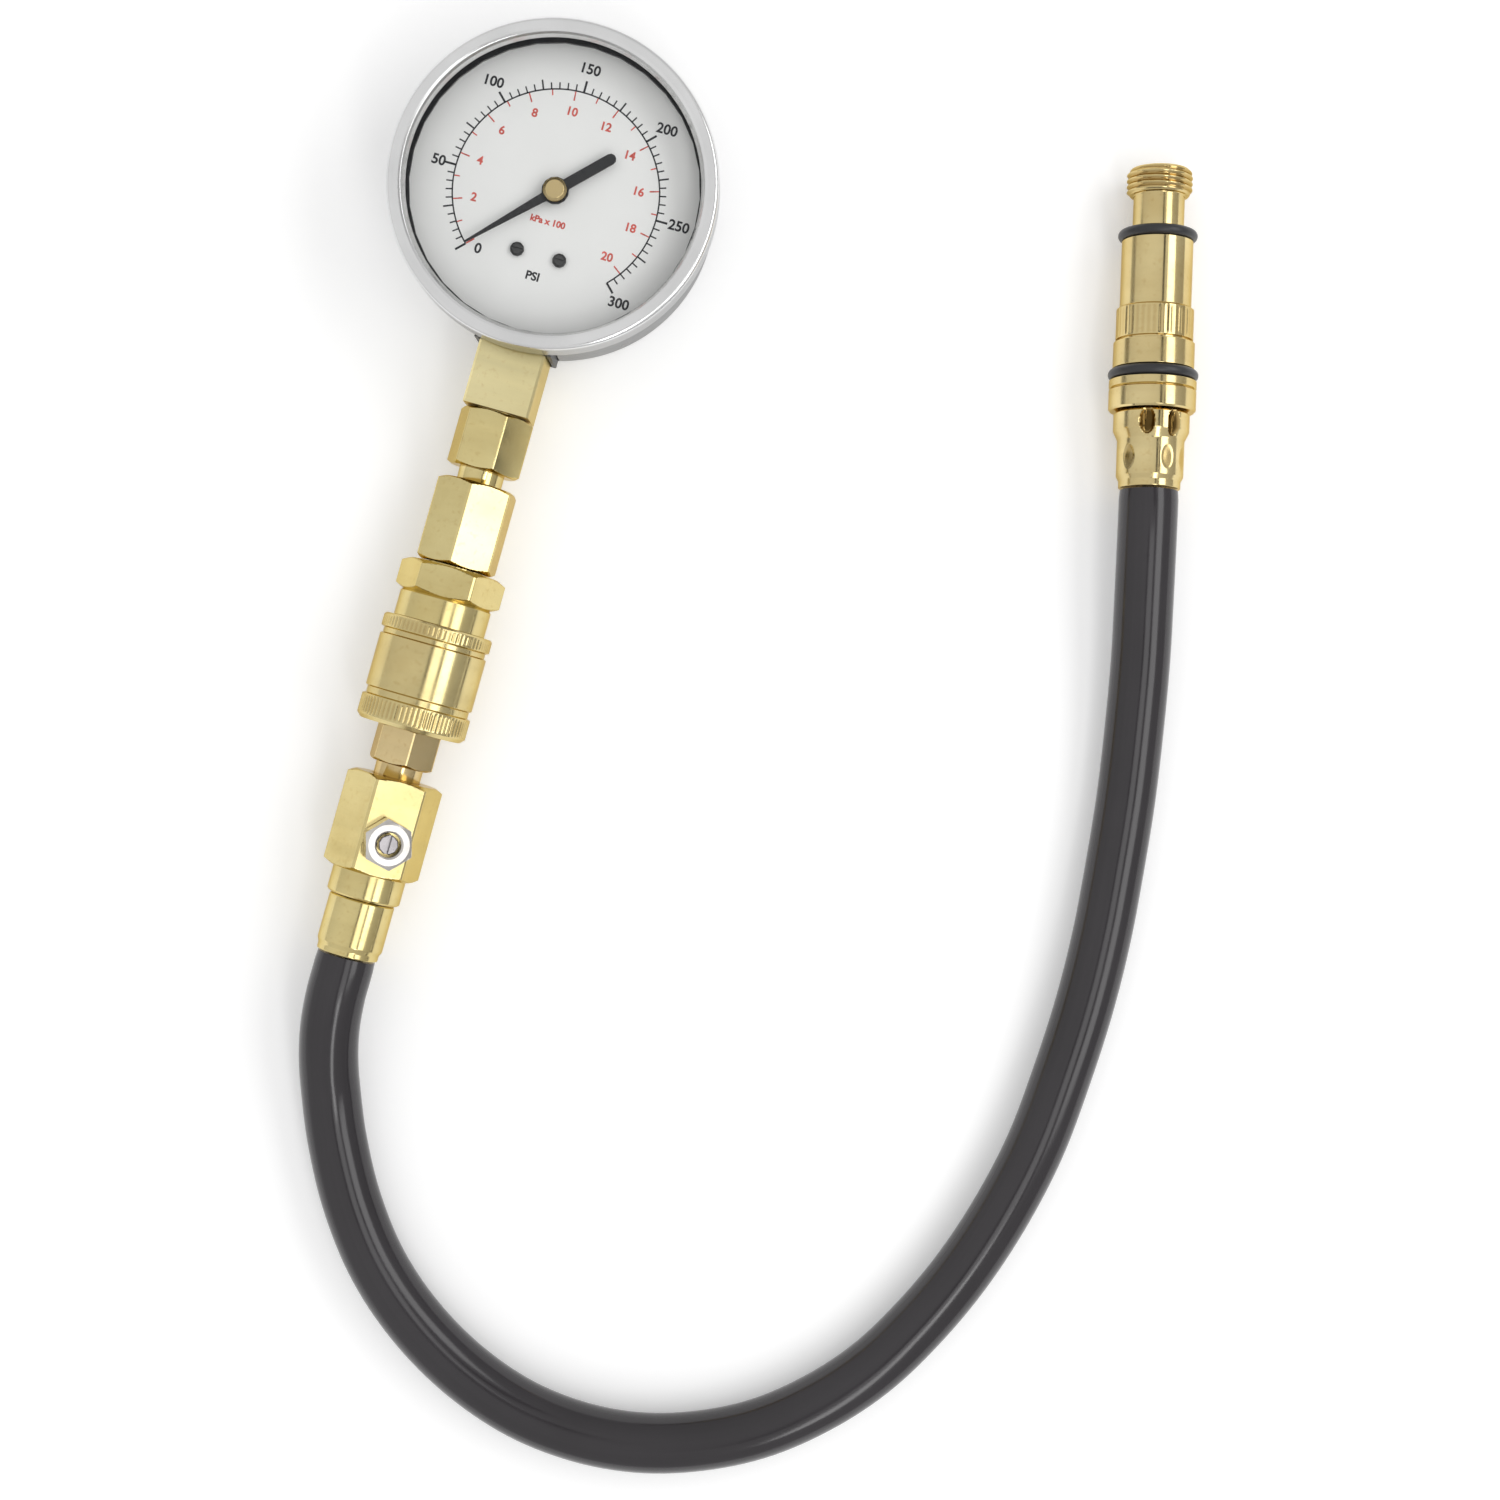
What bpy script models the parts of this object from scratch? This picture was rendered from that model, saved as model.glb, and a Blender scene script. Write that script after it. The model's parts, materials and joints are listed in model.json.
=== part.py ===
"""Compression tester gauge: dial gauge, brass quick coupler, release valve, hose and port fitting.

The gauge lies on its back. The origin is the centre of the case back, +Z comes out of the dial,
and +Y points to twelve o'clock. The brass stack leaves the case along -Y.
"""

import math

import bmesh
import bpy
import numpy as np
from mathutils import Euler, Matrix, Vector

MM = 0.001
GAP = 0.3 * MM  # between pieces that touch
FINE_SIDES = 32  # case, bezel and dial
STACK_SIDES = 24  # turned brass pieces
SMALL_SIDES = 10  # pins, screws and movement pieces
EDGE_CHAMFER = 0.4 * MM
THREAD_CHAMFER = 0.5 * MM
THROUGH = 2.0 * MM  # how far a cutter runs past the face it cuts

# Case
CASE_RADIUS = 33.2 * MM
RIM_OVER_DIAL = 3.9 * MM
CASE_WALL = 1.0 * MM
CASE_BACK = 1.5 * MM
CASE_CORNER = 5.0 * MM

# Bezel, lens and dial
BEZEL_OVER_CASE = 0.5 * MM
BEZEL_HEM_OVERLAP = 1.5 * MM
BEZEL_CROWN_RISE = 2.2 * MM
BEZEL_SHEET = 0.8 * MM
BEZEL_CROWN_WIDTH = 1.6 * MM
BEZEL_LIP_EDGE = 0.32 * MM
BEZEL_LIP_SLOPE = 0.4 * MM
GASKET_THICKNESS = 0.8 * MM
GASKET_WIDTH = 2.6 * MM
LENS_EDGE_GAP = 0.7 * MM
LENS_LIP = 2.3 * MM
LENS_THICKNESS = 1.8 * MM
DIAL_OVER_TUBE = 1.8 * MM
DIAL_THICKNESS = 0.6 * MM
DIAL_EDGE_GAP = 0.5 * MM
DIAL_HOLE = 1.5 * MM
DIAL_SCREW_X = 4.6 * MM
DIAL_SCREW_Y = -13.7 * MM
DIAL_SCREW_HEAD = 1.5 * MM
DIAL_SCREW_HEAD_HEIGHT = 0.9 * MM
DIAL_SCREW_SHANK = 0.8 * MM
DIAL_SCREW_LENGTH = 3.4 * MM
DIAL_SCREW_SLOT = 0.5 * MM

# Pointer
POINTER_OVER_DIAL = 1.7 * MM
POINTER_THICKNESS = 0.5 * MM
POINTER_LENGTH = 21.7 * MM
POINTER_TAIL = 14.5 * MM
POINTER_TAIL_WIDTH = 2.3 * MM
POINTER_ROOT_WIDTH = 1.9 * MM
POINTER_TIP_WIDTH = 0.4 * MM
POINTER_EYE = 2.9 * MM
POINTER_HUB = 2.5 * MM
POINTER_HUB_HEIGHT = 1.2 * MM
POINTER_HUB_SLEEVE = 1.4 * MM
POINTER_ZERO_DEG = 225.0

# Movement
BACK_PLATE_Z = 8.0 * MM
PLATE_THICKNESS = 1.0 * MM
FRONT_PLATE_Z = 13.8 * MM
PLATE_HALF_WIDTH = 8.5 * MM
PLATE_TOP_Y = 8.0 * MM
PLATE_FROM_BLOCK = 0.7 * MM
PLATE_CORNER = 3.0 * MM
PILLAR_RADIUS = 1.5 * MM
PILLAR_SPIGOT = 0.8 * MM
PILLAR_X = 6.3 * MM
PILLAR_TOP_Y = 5.6 * MM
PILLAR_FROM_EDGE = 2.9 * MM
PLATE_SCREW_HEAD = 1.5 * MM
PLATE_SCREW_HEAD_HEIGHT = 0.8 * MM
PLATE_SCREW_CHAMFER = 0.2 * MM
PLATE_SCREW_DEPTH = 1.5 * MM
SOCKET_SCREW_DEPTH = 2.0 * MM
SOCKET_SCREW_X = 3.0 * MM
SOCKET_SCREW_FROM_EDGE = 2.4 * MM
PINION_TEETH = 10
GEAR_RATIO = 8
TOOTH_MODULE = 0.4 * MM
TOOTH_SHIFT = 0.4
TOOTH_ADDENDUM = 0.85
TOOTH_DEDENDUM = 1.2
TOOTH_THINNING = 0.04 * MM
PRESSURE_ANGLE = math.radians(20)
PINION_Z = 9.9 * MM
PINION_LENGTH = 2.4 * MM
ARBOR_RADIUS = 0.8 * MM
ARBOR_FOOT_Z = 7.6 * MM
SECTOR_Z = 10.6 * MM
SECTOR_THICKNESS = 1.2 * MM
SECTOR_TEETH = 13
SECTOR_TEETH_AHEAD = 10  # teeth on the far side of the line of centres at rest
SECTOR_RIM = 2.2 * MM
SECTOR_HUB = 3.0 * MM
SECTOR_TAIL = 8.0 * MM
SECTOR_TAIL_DEG = -20.0
SECTOR_TAIL_EYE = 1.7 * MM
STAFF_RADIUS = 0.9 * MM
STAFF_FOOT_Z = 8.1 * MM
STAFF_TOP_Z = 15.2 * MM
LINK_Z = 12.1 * MM
LINK_THICKNESS = 0.7 * MM
LINK_WIDTH = 1.6 * MM
LINK_EYE = 1.5 * MM
LINK_PIN = 0.6 * MM
LINK_PIN_HEAD = 1.1 * MM
LINK_PIN_HEAD_HEIGHT = 0.4 * MM
HAIRSPRING_Z = 12.9 * MM
HAIRSPRING_INNER = 1.3 * MM
HAIRSPRING_PITCH = 1.1 * MM
HAIRSPRING_TURNS = 3
HAIRSPRING_STRIP = 0.2 * MM
HAIRSPRING_HEIGHT = 0.5 * MM

# Pressure element
TUBE_FROM_WALL = 4.7 * MM
TUBE_HALF_THICKNESS = 1.5 * MM
TUBE_HALF_HEIGHT = 4.5 * MM
TUBE_WALL = 0.45 * MM
TUBE_ROOT_DEG = -105.2
TUBE_SWEEP_DEG = 264.8
TIP_CAP_DEG = 7.0
TIP_PIN_INSIDE_TUBE = 4.3 * MM
TIP_PIN_DEG = -16.0
TIP_LUG_THICKNESS = 1.6 * MM
TIP_CAP_PROUD = 0.2 * MM

# Stem socket
STEM_SQUARE = 14.3 * MM
STEM_OUT = 14.1 * MM
STEM_CHAMFER = 0.5 * MM
STEM_THREAD_RADIUS = 5.0 * MM
STEM_THREAD_LENGTH = 8.4 * MM
STEM_BORE = 1.6 * MM
SOCKET_HALF_WIDTH = 6.5 * MM
SOCKET_TOP_Z = 16.0 * MM
SOCKET_TONGUE_Y = -13.0 * MM
SOCKET_FOOT_REACH = 0.4 * MM  # past the start of the case's round corner
GROMMET_WALL = 0.9 * MM
GROMMET_LENGTH = 2.5 * MM
GROMMET_PROUD = 0.5 * MM
CASE_SCREW_TOP_Y = -16.5 * MM
CASE_SCREW_FROM_FOOT = 3.1 * MM
CASE_SCREW_HEAD = 2.3 * MM
CASE_SCREW_SHANK = 1.4 * MM
CASE_SCREW_LENGTH = 5.0 * MM
CASE_SCREW_SUNK = 0.1 * MM

# Brass stack, along -Y from the case
ADAPTER_ACROSS = 14.3 * MM
ADAPTER_HEX_LENGTH = 12.6 * MM
ADAPTER_CHAMFER = 0.3 * MM
ADAPTER_TURN = -9.0
ADAPTER_NECK_SHOWN = 2.8 * MM
ADAPTER_THREAD_RADIUS = 4.9 * MM
ADAPTER_THREAD_LENGTH = 11.0 * MM
LONG_HEX_ACROSS = 15.9 * MM
LONG_HEX_LENGTH = 18.4 * MM
LONG_HEX_CHAMFER = 0.6 * MM
LONG_HEX_TURN = 27.6
COUPLER_ACROSS = 20.0 * MM
COUPLER_HEX_LENGTH = 6.8 * MM
COUPLER_CHAMFER = 0.5 * MM
COUPLER_TURN = 1.0
COUPLER_THREAD_RADIUS = 5.7 * MM
COUPLER_THREAD_LENGTH = 8.0 * MM
COUPLER_NECK_RADIUS = 9.9 * MM
COUPLER_NECK_LENGTH = 6.0 * MM
COUPLER_TUBE_RADIUS = 7.5 * MM
COUPLER_TUBE_LENGTH = 22.0 * MM
COUPLER_BORE = 5.3 * MM
FLOW_BORE = 2.0 * MM
SLEEVE_RADIUS = 11.8 * MM
SLEEVE_LENGTH = 22.9 * MM
SLEEVE_OVERRUN = 0.8 * MM
SLEEVE_TRAVEL = 5.0 * MM
SLEEVE_BAND_INSET = 0.2 * MM
SLEEVE_GROOVE = 0.7 * MM
SLEEVE_UPPER_GROOVE_AT = 2.9 * MM
SLEEVE_UPPER_GROOVE_WIDTH = 1.3 * MM
SLEEVE_LOWER_GROOVE_AT = 15.8 * MM
SLEEVE_LOWER_GROOVE_WIDTH = 1.6 * MM
SLEEVE_REAR_CLEARANCE = 0.4 * MM
SLEEVE_GROOVE_SLOPE = 0.3 * MM
SLEEVE_END_CHAMFER = 0.9 * MM
SLEEVE_FRONT_BORE = 9.2 * MM
LAND_LENGTH = 6.0 * MM
BALL_RADIUS = 1.5 * MM
BALL_COUNT = 4
BALL_BEHIND_RING = 2.3 * MM
PLUG_GROOVE_RADIUS = 4.0 * MM
PLUG_NIPPLE_RADIUS = 5.0 * MM
RING_WIDTH = 1.0 * MM
RING_FROM_TUBE_END = 6.1 * MM
RING_OUTER = 8.8 * MM
RING_SEAT = 6.9 * MM
SPRING_WIRE = 0.6 * MM
SPRING_TURNS = 2.5
SEAL_SECTION = 0.6 * MM
SEAL_SQUEEZE = 0.15 * MM
SEAL_FROM_TUBE_END = 16.4 * MM
SEAL_STEPS_AROUND = 16
SEAL_SECTION_SIDES = 5
PLUG_ACROSS = 12.7 * MM
PLUG_HEX_LENGTH = 8.3 * MM
PLUG_CHAMFER = 0.3 * MM
PLUG_TURN = -13.0
PLUG_NIPPLE_LENGTH = 18.6 * MM
PLUG_NECK_SHOWN = 2.8 * MM
PLUG_THREAD_RADIUS = 5.1 * MM
PLUG_THREAD_LENGTH = 10.8 * MM

# Valve body and release valve
VALVE_ACROSS = 18.3 * MM
VALVE_HEX_LENGTH = 20.8 * MM
VALVE_TURN = 17.0
VALVE_COLLAR_RADIUS = 7.9 * MM
VALVE_COLLAR_LENGTH = 5.6 * MM
RELEASE_FROM_HOSE = 25.7 * MM
RELEASE_ACROSS = 10.0 * MM
RELEASE_PROUD = 4.9 * MM
RELEASE_CHAMFER = 0.2 * MM
RELEASE_SPIGOT = 3.7 * MM
RELEASE_SPIGOT_LENGTH = 4.2 * MM
RELEASE_RECESS = 2.6 * MM
RELEASE_FLOOR = 1.5 * MM
RELEASE_HOLE = 1.1 * MM
BUTTON_HEAD = 2.1 * MM
BUTTON_HEAD_HEIGHT = 2.4 * MM
BUTTON_SUNK = 0.7 * MM
BUTTON_STEM = 0.8 * MM
BUTTON_SLOT = 0.7 * MM
BUTTON_SPRING_WIRE = 0.22 * MM
BUTTON_SPRING_TURNS = 3.0
RELEASE_SEAL_SECTION = 0.5 * MM

# Hose and ferrules
HOSE_RADIUS = 6.35 * MM
HOSE_REST = 0.1 * MM
BARB_RADIUS = 3.5 * MM
FERRULE_TOP_RADIUS = 7.05 * MM
FERRULE_MOUTH_RADIUS = 6.6 * MM
NEAR_FERRULE_LENGTH = 12.2 * MM
NEAR_FERRULE_CRIMP = 10.0 * MM
FERRULE_SLOPE = 1.0 * MM
FAR_FERRULE_LENGTH = 16.2 * MM
FAR_FERRULE_WAIST = 7.15 * MM
FAR_FERRULE_SKIRT = 8.1 * MM
FAR_FERRULE_SKIRT_LENGTH = 6.0 * MM
FAR_FERRULE_MOUTH_LENGTH = 1.5 * MM
DENT_RADIUS = 1.9 * MM
DENT_DEPTH = 0.8 * MM
DENT_STRETCH = 1.5  # a dent's length over its width
DENT_TURNS_DEG = (-15.0, 28.0)
DENT_STEPS = (2.6 * MM, 2.8 * MM)

# Port fitting at the hose's far end, measured along its own axis from the far ferrule's mouth
FAR_START_X = 137.9 * MM
FAR_START_Y = -25.2 * MM
FAR_HEADING_DEG = 103.3
COLLAR_RADIUS = 9.3 * MM
COLLAR_LENGTH = 6.6 * MM
COLLAR_RIM = 1.6 * MM
COLLAR_LINE_WIDTH = 0.6 * MM
COLLAR_LINE_DEPTH = 0.5 * MM
UPPER_SEAL_RADIUS = 9.6 * MM
UPPER_SEAL_SECTION = 1.15 * MM
RING_LAND_RADIUS = 8.65 * MM
RING_LAND_LENGTH = 5.6 * MM
RELIEF_RADIUS = 8.0 * MM
RELIEF_WIDTH = 0.5 * MM
WIDE_RADIUS = 8.25 * MM
WIDE_LENGTH = 7.0 * MM
BARREL_RADIUS = 7.6 * MM
BARREL_LENGTH = 14.4 * MM
LOWER_SEAL_RADIUS = 8.45 * MM
LOWER_SEAL_SECTION = 1.1 * MM
NECK_RADIUS = 5.45 * MM
NECK_LENGTH = 7.4 * MM
HEAD_RADIUS = 7.0 * MM
HEAD_LENGTH = 5.6 * MM
HEAD_CHAMFER = 0.8 * MM
CORE_BORE = 3.0 * MM
CORE_BORE_DEPTH = 13.7 * MM
CORE_BODY_LENGTH = 7.6 * MM
CORE_SUNK = 0.5 * MM
CORE_PIN = 0.8 * MM
CORE_PIN_HEAD = 2.1 * MM
CORE_PIN_HEAD_LENGTH = 1.2 * MM
CORE_SPRING_WIRE = 0.25 * MM
CORE_SPRING_TURNS = 3.0

# The hose's middle line, chosen by hand: metres, from the near ferrule to the far ferrule
HOSE_ROUTE = (
    (0.0000, -0.1672, 0.0121),
    (0.0000, -0.1715, 0.0121),
    (0.0000, -0.1758, 0.0120),
    (0.0005, -0.1825, 0.0111),
    (0.0017, -0.1890, 0.0096),
    (0.0038, -0.1960, 0.0078),
    (0.0082, -0.2069, 0.00650),
    (0.0148, -0.2187, 0.00645),
    (0.0236, -0.2300, 0.00645),
    (0.0344, -0.2393, 0.00645),
    (0.0472, -0.2467, 0.00645),
    (0.0612, -0.2515, 0.00645),
    (0.0752, -0.2530, 0.00645),
    (0.0883, -0.2517, 0.00645),
    (0.1007, -0.2478, 0.00645),
    (0.1125, -0.2416, 0.00645),
    (0.1232, -0.2328, 0.00645),
    (0.1321, -0.2225, 0.00645),
    (0.1394, -0.2101, 0.00645),
    (0.1452, -0.1971, 0.00645),
    (0.1498, -0.1826, 0.00645),
    (0.1530, -0.1672, 0.00645),
    (0.1544, -0.1511, 0.00645),
    (0.1550, -0.1355, 0.00645),
    (0.1546, -0.1202, 0.00645),
    (0.1533, -0.1051, 0.00645),
    (0.1516, -0.0901, 0.00650),
    (0.1492, -0.0753, 0.00710),
    (0.1464, -0.0610, 0.00840),
    (0.1433, -0.0480, 0.00990),
    (0.1402, -0.0350, 0.01075),
    (0.13869, -0.02856, 0.01076),
    (0.13800, -0.02564, 0.01065),
)
HOSE_STEP = 8.0 * MM

BRASS = (0.72, 0.56, 0.27)
STEEL = (0.62, 0.62, 0.63)
DARK_STEEL = (0.16, 0.16, 0.17)
BLACK_RUBBER = (0.02, 0.02, 0.022)


def material(name, colour, roughness, metallic):
    """One Principled material, made once and shared by the pieces that name it."""
    found = bpy.data.materials.get(name)
    if found:
        return found
    made = bpy.data.materials.new(name)
    made.use_nodes = True
    shader = made.node_tree.nodes["Principled BSDF"]
    shader.inputs["Base Color"].default_value = (*colour, 1.0)
    shader.inputs["Roughness"].default_value = roughness
    shader.inputs["Metallic"].default_value = metallic
    made.diffuse_color = (*colour, 1.0)
    return made


def brass():
    return material("brass", BRASS, 0.32, 1.0)


def steel():
    return material("stainless steel", STEEL, 0.3, 1.0)


def dark_steel():
    return material("blackened steel", DARK_STEEL, 0.4, 0.8)


def rubber():
    return material("black rubber", BLACK_RUBBER, 0.45, 0.0)


def empty(name, location, rotation=(0, 0, 0), parent=None):
    """A joint axis or a frame: the pieces under it are drawn along its own Z."""
    made = bpy.data.objects.new(name, None)
    made.empty_display_size = 5 * MM
    made.location = location
    made.rotation_euler = rotation
    made.parent = parent
    bpy.context.scene.collection.objects.link(made)
    return made


def solid(name, mesh_data, paint, parent=None):
    """Puts a bmesh into the scene as one named piece with its faces pointing out."""
    bmesh.ops.recalc_face_normals(mesh_data, faces=mesh_data.faces)
    if mesh_data.calc_volume(signed=True) < 0:
        bmesh.ops.reverse_faces(mesh_data, faces=mesh_data.faces)
    mesh = bpy.data.meshes.new(name)
    mesh_data.to_mesh(mesh)
    mesh_data.free()
    made = bpy.data.objects.new(name, mesh)
    made.parent = parent
    bpy.context.scene.collection.objects.link(made)
    if paint:
        mesh.materials.append(paint)
    mesh.shade_smooth()
    mesh.set_sharp_from_angle(angle=math.radians(30))
    return made


def revolve(outline, sides):
    """Turns an outline of (radius, height) pairs about Z.

    An outline that starts and ends on the axis is a plain solid; any other is closed into a ring.
    """
    made = bmesh.new()
    angles = [2 * math.pi * i / sides for i in range(sides)]
    rings = []
    for radius, height in outline:
        if radius == 0:
            rings.append([made.verts.new((0, 0, height))])
        else:
            rings.append(
                [made.verts.new((radius * math.cos(a), radius * math.sin(a), height)) for a in angles]
            )
    on_axis = outline[0][0] == 0 and outline[-1][0] == 0
    pairs = list(zip(rings[:-1], rings[1:]))
    if not on_axis:
        pairs.append((rings[-1], rings[0]))
    for lower, upper in pairs:
        for i in range(sides):
            j = (i + 1) % sides
            if len(lower) == 1:
                made.faces.new((lower[0], upper[j], upper[i]))
            elif len(upper) == 1:
                made.faces.new((lower[i], lower[j], upper[0]))
            else:
                made.faces.new((lower[i], lower[j], upper[j], upper[i]))
    return made


def turned(name, outline, paint, parent=None, sides=STACK_SIDES):
    return solid(name, revolve(outline, sides), paint, parent)


def extruded(name, outline, low, high, paint, parent=None):
    """A flat outline of (x, y) points, raised from one height to another."""
    made = bmesh.new()
    bottom = [made.verts.new((x, y, low)) for x, y in outline]
    top = [made.verts.new((x, y, high)) for x, y in outline]
    made.faces.new(bottom)
    made.faces.new(top)
    for i in range(len(outline)):
        j = (i + 1) % len(outline)
        made.faces.new((bottom[i], bottom[j], top[j], top[i]))
    return solid(name, made, paint, parent)


def block(name, low, high, paint, parent=None):
    """A box between two corners."""
    outline = [(low[0], low[1]), (high[0], low[1]), (high[0], high[1]), (low[0], high[1])]
    return extruded(name, outline, low[2], high[2], paint, parent)


def guide(piece):
    """Marks a piece as a cutter or a shape to be joined, which is no part of the object."""
    piece.hide_render = True
    piece.display_type = "WIRE"
    return piece


def combine(piece, tool, operation):
    change = piece.modifiers.new(operation.lower(), "BOOLEAN")
    change.operation = operation
    change.solver = "EXACT"
    change.object = guide(tool)


def cut(piece, tool):
    combine(piece, tool, "DIFFERENCE")


def join(piece, tool):
    combine(piece, tool, "UNION")


def rod(name, radius, low, high, parent=None, sides=SMALL_SIDES, x=0.0, y=0.0):
    """A plain round cutter standing at (x, y)."""
    made = turned(name, [(0, low), (radius, low), (radius, high), (0, high)], None, parent, sides)
    made.location = (x, y, 0)
    return made


def polar(radius, angle_deg):
    angle = math.radians(angle_deg)
    return (radius * math.cos(angle), radius * math.sin(angle))


def arc(centre_x, centre_y, radius, start_deg, end_deg, steps):
    angles = [math.radians(start_deg + (end_deg - start_deg) * i / steps) for i in range(steps + 1)]
    return [(centre_x + radius * math.cos(a), centre_y + radius * math.sin(a)) for a in angles]


def rounded_box(left, right, bottom, top, corner, steps=3):
    """A rectangle's outline with round corners, anticlockwise."""
    points = arc(right - corner, top - corner, corner, 0, 90, steps)
    points += arc(left + corner, top - corner, corner, 90, 180, steps)
    points += arc(left + corner, bottom + corner, corner, 180, 270, steps)
    points += arc(right - corner, bottom + corner, corner, 270, 360, steps)
    return points


def hexagon(across, turn_deg):
    """Corner points of a hexagon whose first flat faces turn_deg from +Y towards +X."""
    reach = across / math.sqrt(3)
    angles = [math.radians(turn_deg + 30 + 60 * i) for i in range(6)]
    return [(reach * math.sin(a), reach * math.cos(a)) for a in angles]


def hex_cut(piece, across, low, high, turn_deg, parent):
    """Mills six flats between two heights, leaving what is turned above and below."""
    inner = hexagon(across, turn_deg)
    outer = hexagon(2 * across, turn_deg)
    made = bmesh.new()
    rings = ((inner, low), (inner, high), (outer, low), (outer, high))
    corners = [[made.verts.new((x, y, z)) for x, y in ring] for ring, z in rings]
    inner_low, inner_high, outer_low, outer_high = corners
    for i in range(6):
        j = (i + 1) % 6
        made.faces.new((inner_low[i], inner_low[j], inner_high[j], inner_high[i]))
        made.faces.new((outer_low[i], outer_low[j], outer_high[j], outer_high[i]))
        made.faces.new((inner_low[i], inner_low[j], outer_low[j], outer_low[i]))
        made.faces.new((inner_high[i], inner_high[j], outer_high[j], outer_high[i]))
    cut(piece, solid(piece.name + "_flats", made, None, parent))


def hex_blank(across, low, high, chamfer):
    """The outer outline of a hexagon's turned blank: just past its corners, with chamfered ends."""
    reach = 1.02 * across / math.sqrt(3)
    edge = across / 2 - chamfer
    slope = (reach - edge) * 0.5
    return [(edge, low), (reach, low + slope), (reach, high - slope), (edge, high)]


def wire(name, points, radius, paint, parent=None, resolution=1):
    """A round wire or hose along points, with its ends closed."""
    curve = bpy.data.curves.new(name, "CURVE")
    curve.dimensions = "3D"
    curve.bevel_depth = radius
    curve.bevel_resolution = resolution
    curve.use_fill_caps = True
    line = curve.splines.new("POLY")
    line.points.add(len(points) - 1)
    for spot, place in zip(line.points, points):
        spot.co = (*place, 1.0)
    made = bpy.data.objects.new(name, curve)
    made.parent = parent
    bpy.context.scene.collection.objects.link(made)
    curve.materials.append(paint)
    return made


def coil(name, radius, wire_radius, low, high, turns, paint, parent, per_turn=8):
    """A compression spring about Z, from low to high over its wire."""
    count = int(turns * per_turn) + 1
    bottom = low + wire_radius
    rise = high - low - 2 * wire_radius
    points = []
    for i in range(count):
        share = i / (count - 1)
        angle = 2 * math.pi * turns * share
        points.append((radius * math.cos(angle), radius * math.sin(angle), bottom + rise * share))
    return wire(name, points, wire_radius, paint, parent)


def ring_seal(name, outer_radius, section, height, paint, parent, around=24, across=6):
    """A round rubber ring about Z."""
    middle = outer_radius - section
    outline = []
    for i in range(across):
        angle = 2 * math.pi * i / across
        outline.append((middle + section * math.cos(angle), height + section * math.sin(angle)))
    return turned(name, outline, paint, parent, around)


# Where things stand, worked out from the sizes above
STEM_Z = SLEEVE_RADIUS + GAP
BEZEL_RADIUS = CASE_RADIUS + BEZEL_OVER_CASE + BEZEL_SHEET
LENS_RADIUS = BEZEL_RADIUS - BEZEL_SHEET - LENS_EDGE_GAP
LENS_OPENING = LENS_RADIUS - LENS_LIP
TUBE_RADIUS = CASE_RADIUS - CASE_WALL - TUBE_FROM_WALL
TIP_PIN_RADIUS_AT = TUBE_RADIUS - TIP_PIN_INSIDE_TUBE
SOCKET_BLOCK_Y = TUBE_HALF_THICKNESS - TUBE_RADIUS
SOCKET_FOOT_Y = CASE_CORNER - CASE_RADIUS - SOCKET_FOOT_REACH
CASE_SCREW_SPOTS = (CASE_SCREW_TOP_Y, SOCKET_FOOT_Y + CASE_SCREW_FROM_FOOT)
PLATE_BOTTOM_Y = SOCKET_BLOCK_Y + PLATE_FROM_BLOCK
PILLAR_LOW_Y = PLATE_BOTTOM_Y + PILLAR_FROM_EDGE
PILLAR_SPOTS = ((-PILLAR_X, PILLAR_LOW_Y), (PILLAR_X, PILLAR_TOP_Y), (-PILLAR_X, PILLAR_TOP_Y))
SOCKET_SCREW_Y = PLATE_BOTTOM_Y + SOCKET_SCREW_FROM_EDGE
SOCKET_SCREW_SPOTS = ((-SOCKET_SCREW_X, SOCKET_SCREW_Y), (SOCKET_SCREW_X, SOCKET_SCREW_Y))
DIAL_Z = STEM_Z + TUBE_HALF_HEIGHT + DIAL_OVER_TUBE
POINTER_Z = DIAL_Z + DIAL_THICKNESS + POINTER_OVER_DIAL
CASE_RIM_Z = DIAL_Z + RIM_OVER_DIAL
GASKET_Z = CASE_RIM_Z + GAP
LENS_Z = GASKET_Z + GASKET_THICKNESS + GAP
BEZEL_LIP_Z = LENS_Z + LENS_THICKNESS + GAP
BEZEL_CROWN_Z = BEZEL_LIP_Z + BEZEL_CROWN_RISE
BEZEL_HEM_Z = CASE_RIM_Z - BEZEL_HEM_OVERLAP
STEM_END = CASE_RADIUS + STEM_OUT
ADAPTER_START = STEM_END + GAP
ADAPTER_END = ADAPTER_START + ADAPTER_HEX_LENGTH
LONG_HEX_START = ADAPTER_END + ADAPTER_NECK_SHOWN
LONG_HEX_END = LONG_HEX_START + LONG_HEX_LENGTH
COUPLER_START = LONG_HEX_END + GAP
COUPLER_HEX_END = COUPLER_START + COUPLER_HEX_LENGTH
COUPLER_SHOULDER = COUPLER_HEX_END + COUPLER_NECK_LENGTH
COUPLER_END = COUPLER_SHOULDER + COUPLER_TUBE_LENGTH
SLEEVE_START = COUPLER_HEX_END + SLEEVE_TRAVEL + SLEEVE_OVERRUN
RING_AT = COUPLER_END - RING_FROM_TUBE_END
LAND_END = RING_AT - GAP
LAND_START = LAND_END - LAND_LENGTH
BALL_AT = RING_AT - BALL_BEHIND_RING
SEAL_AT = COUPLER_END - SEAL_FROM_TUBE_END
PLUG_START = COUPLER_END + GAP
PLUG_HEX_END = PLUG_START + PLUG_HEX_LENGTH
VALVE_START = PLUG_HEX_END + PLUG_NECK_SHOWN
VALVE_HEX_END = VALVE_START + VALVE_HEX_LENGTH
VALVE_END = VALVE_HEX_END + VALVE_COLLAR_LENGTH
NEAR_FERRULE_START = VALVE_END + GAP
NEAR_FERRULE_END = NEAR_FERRULE_START + NEAR_FERRULE_LENGTH
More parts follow.
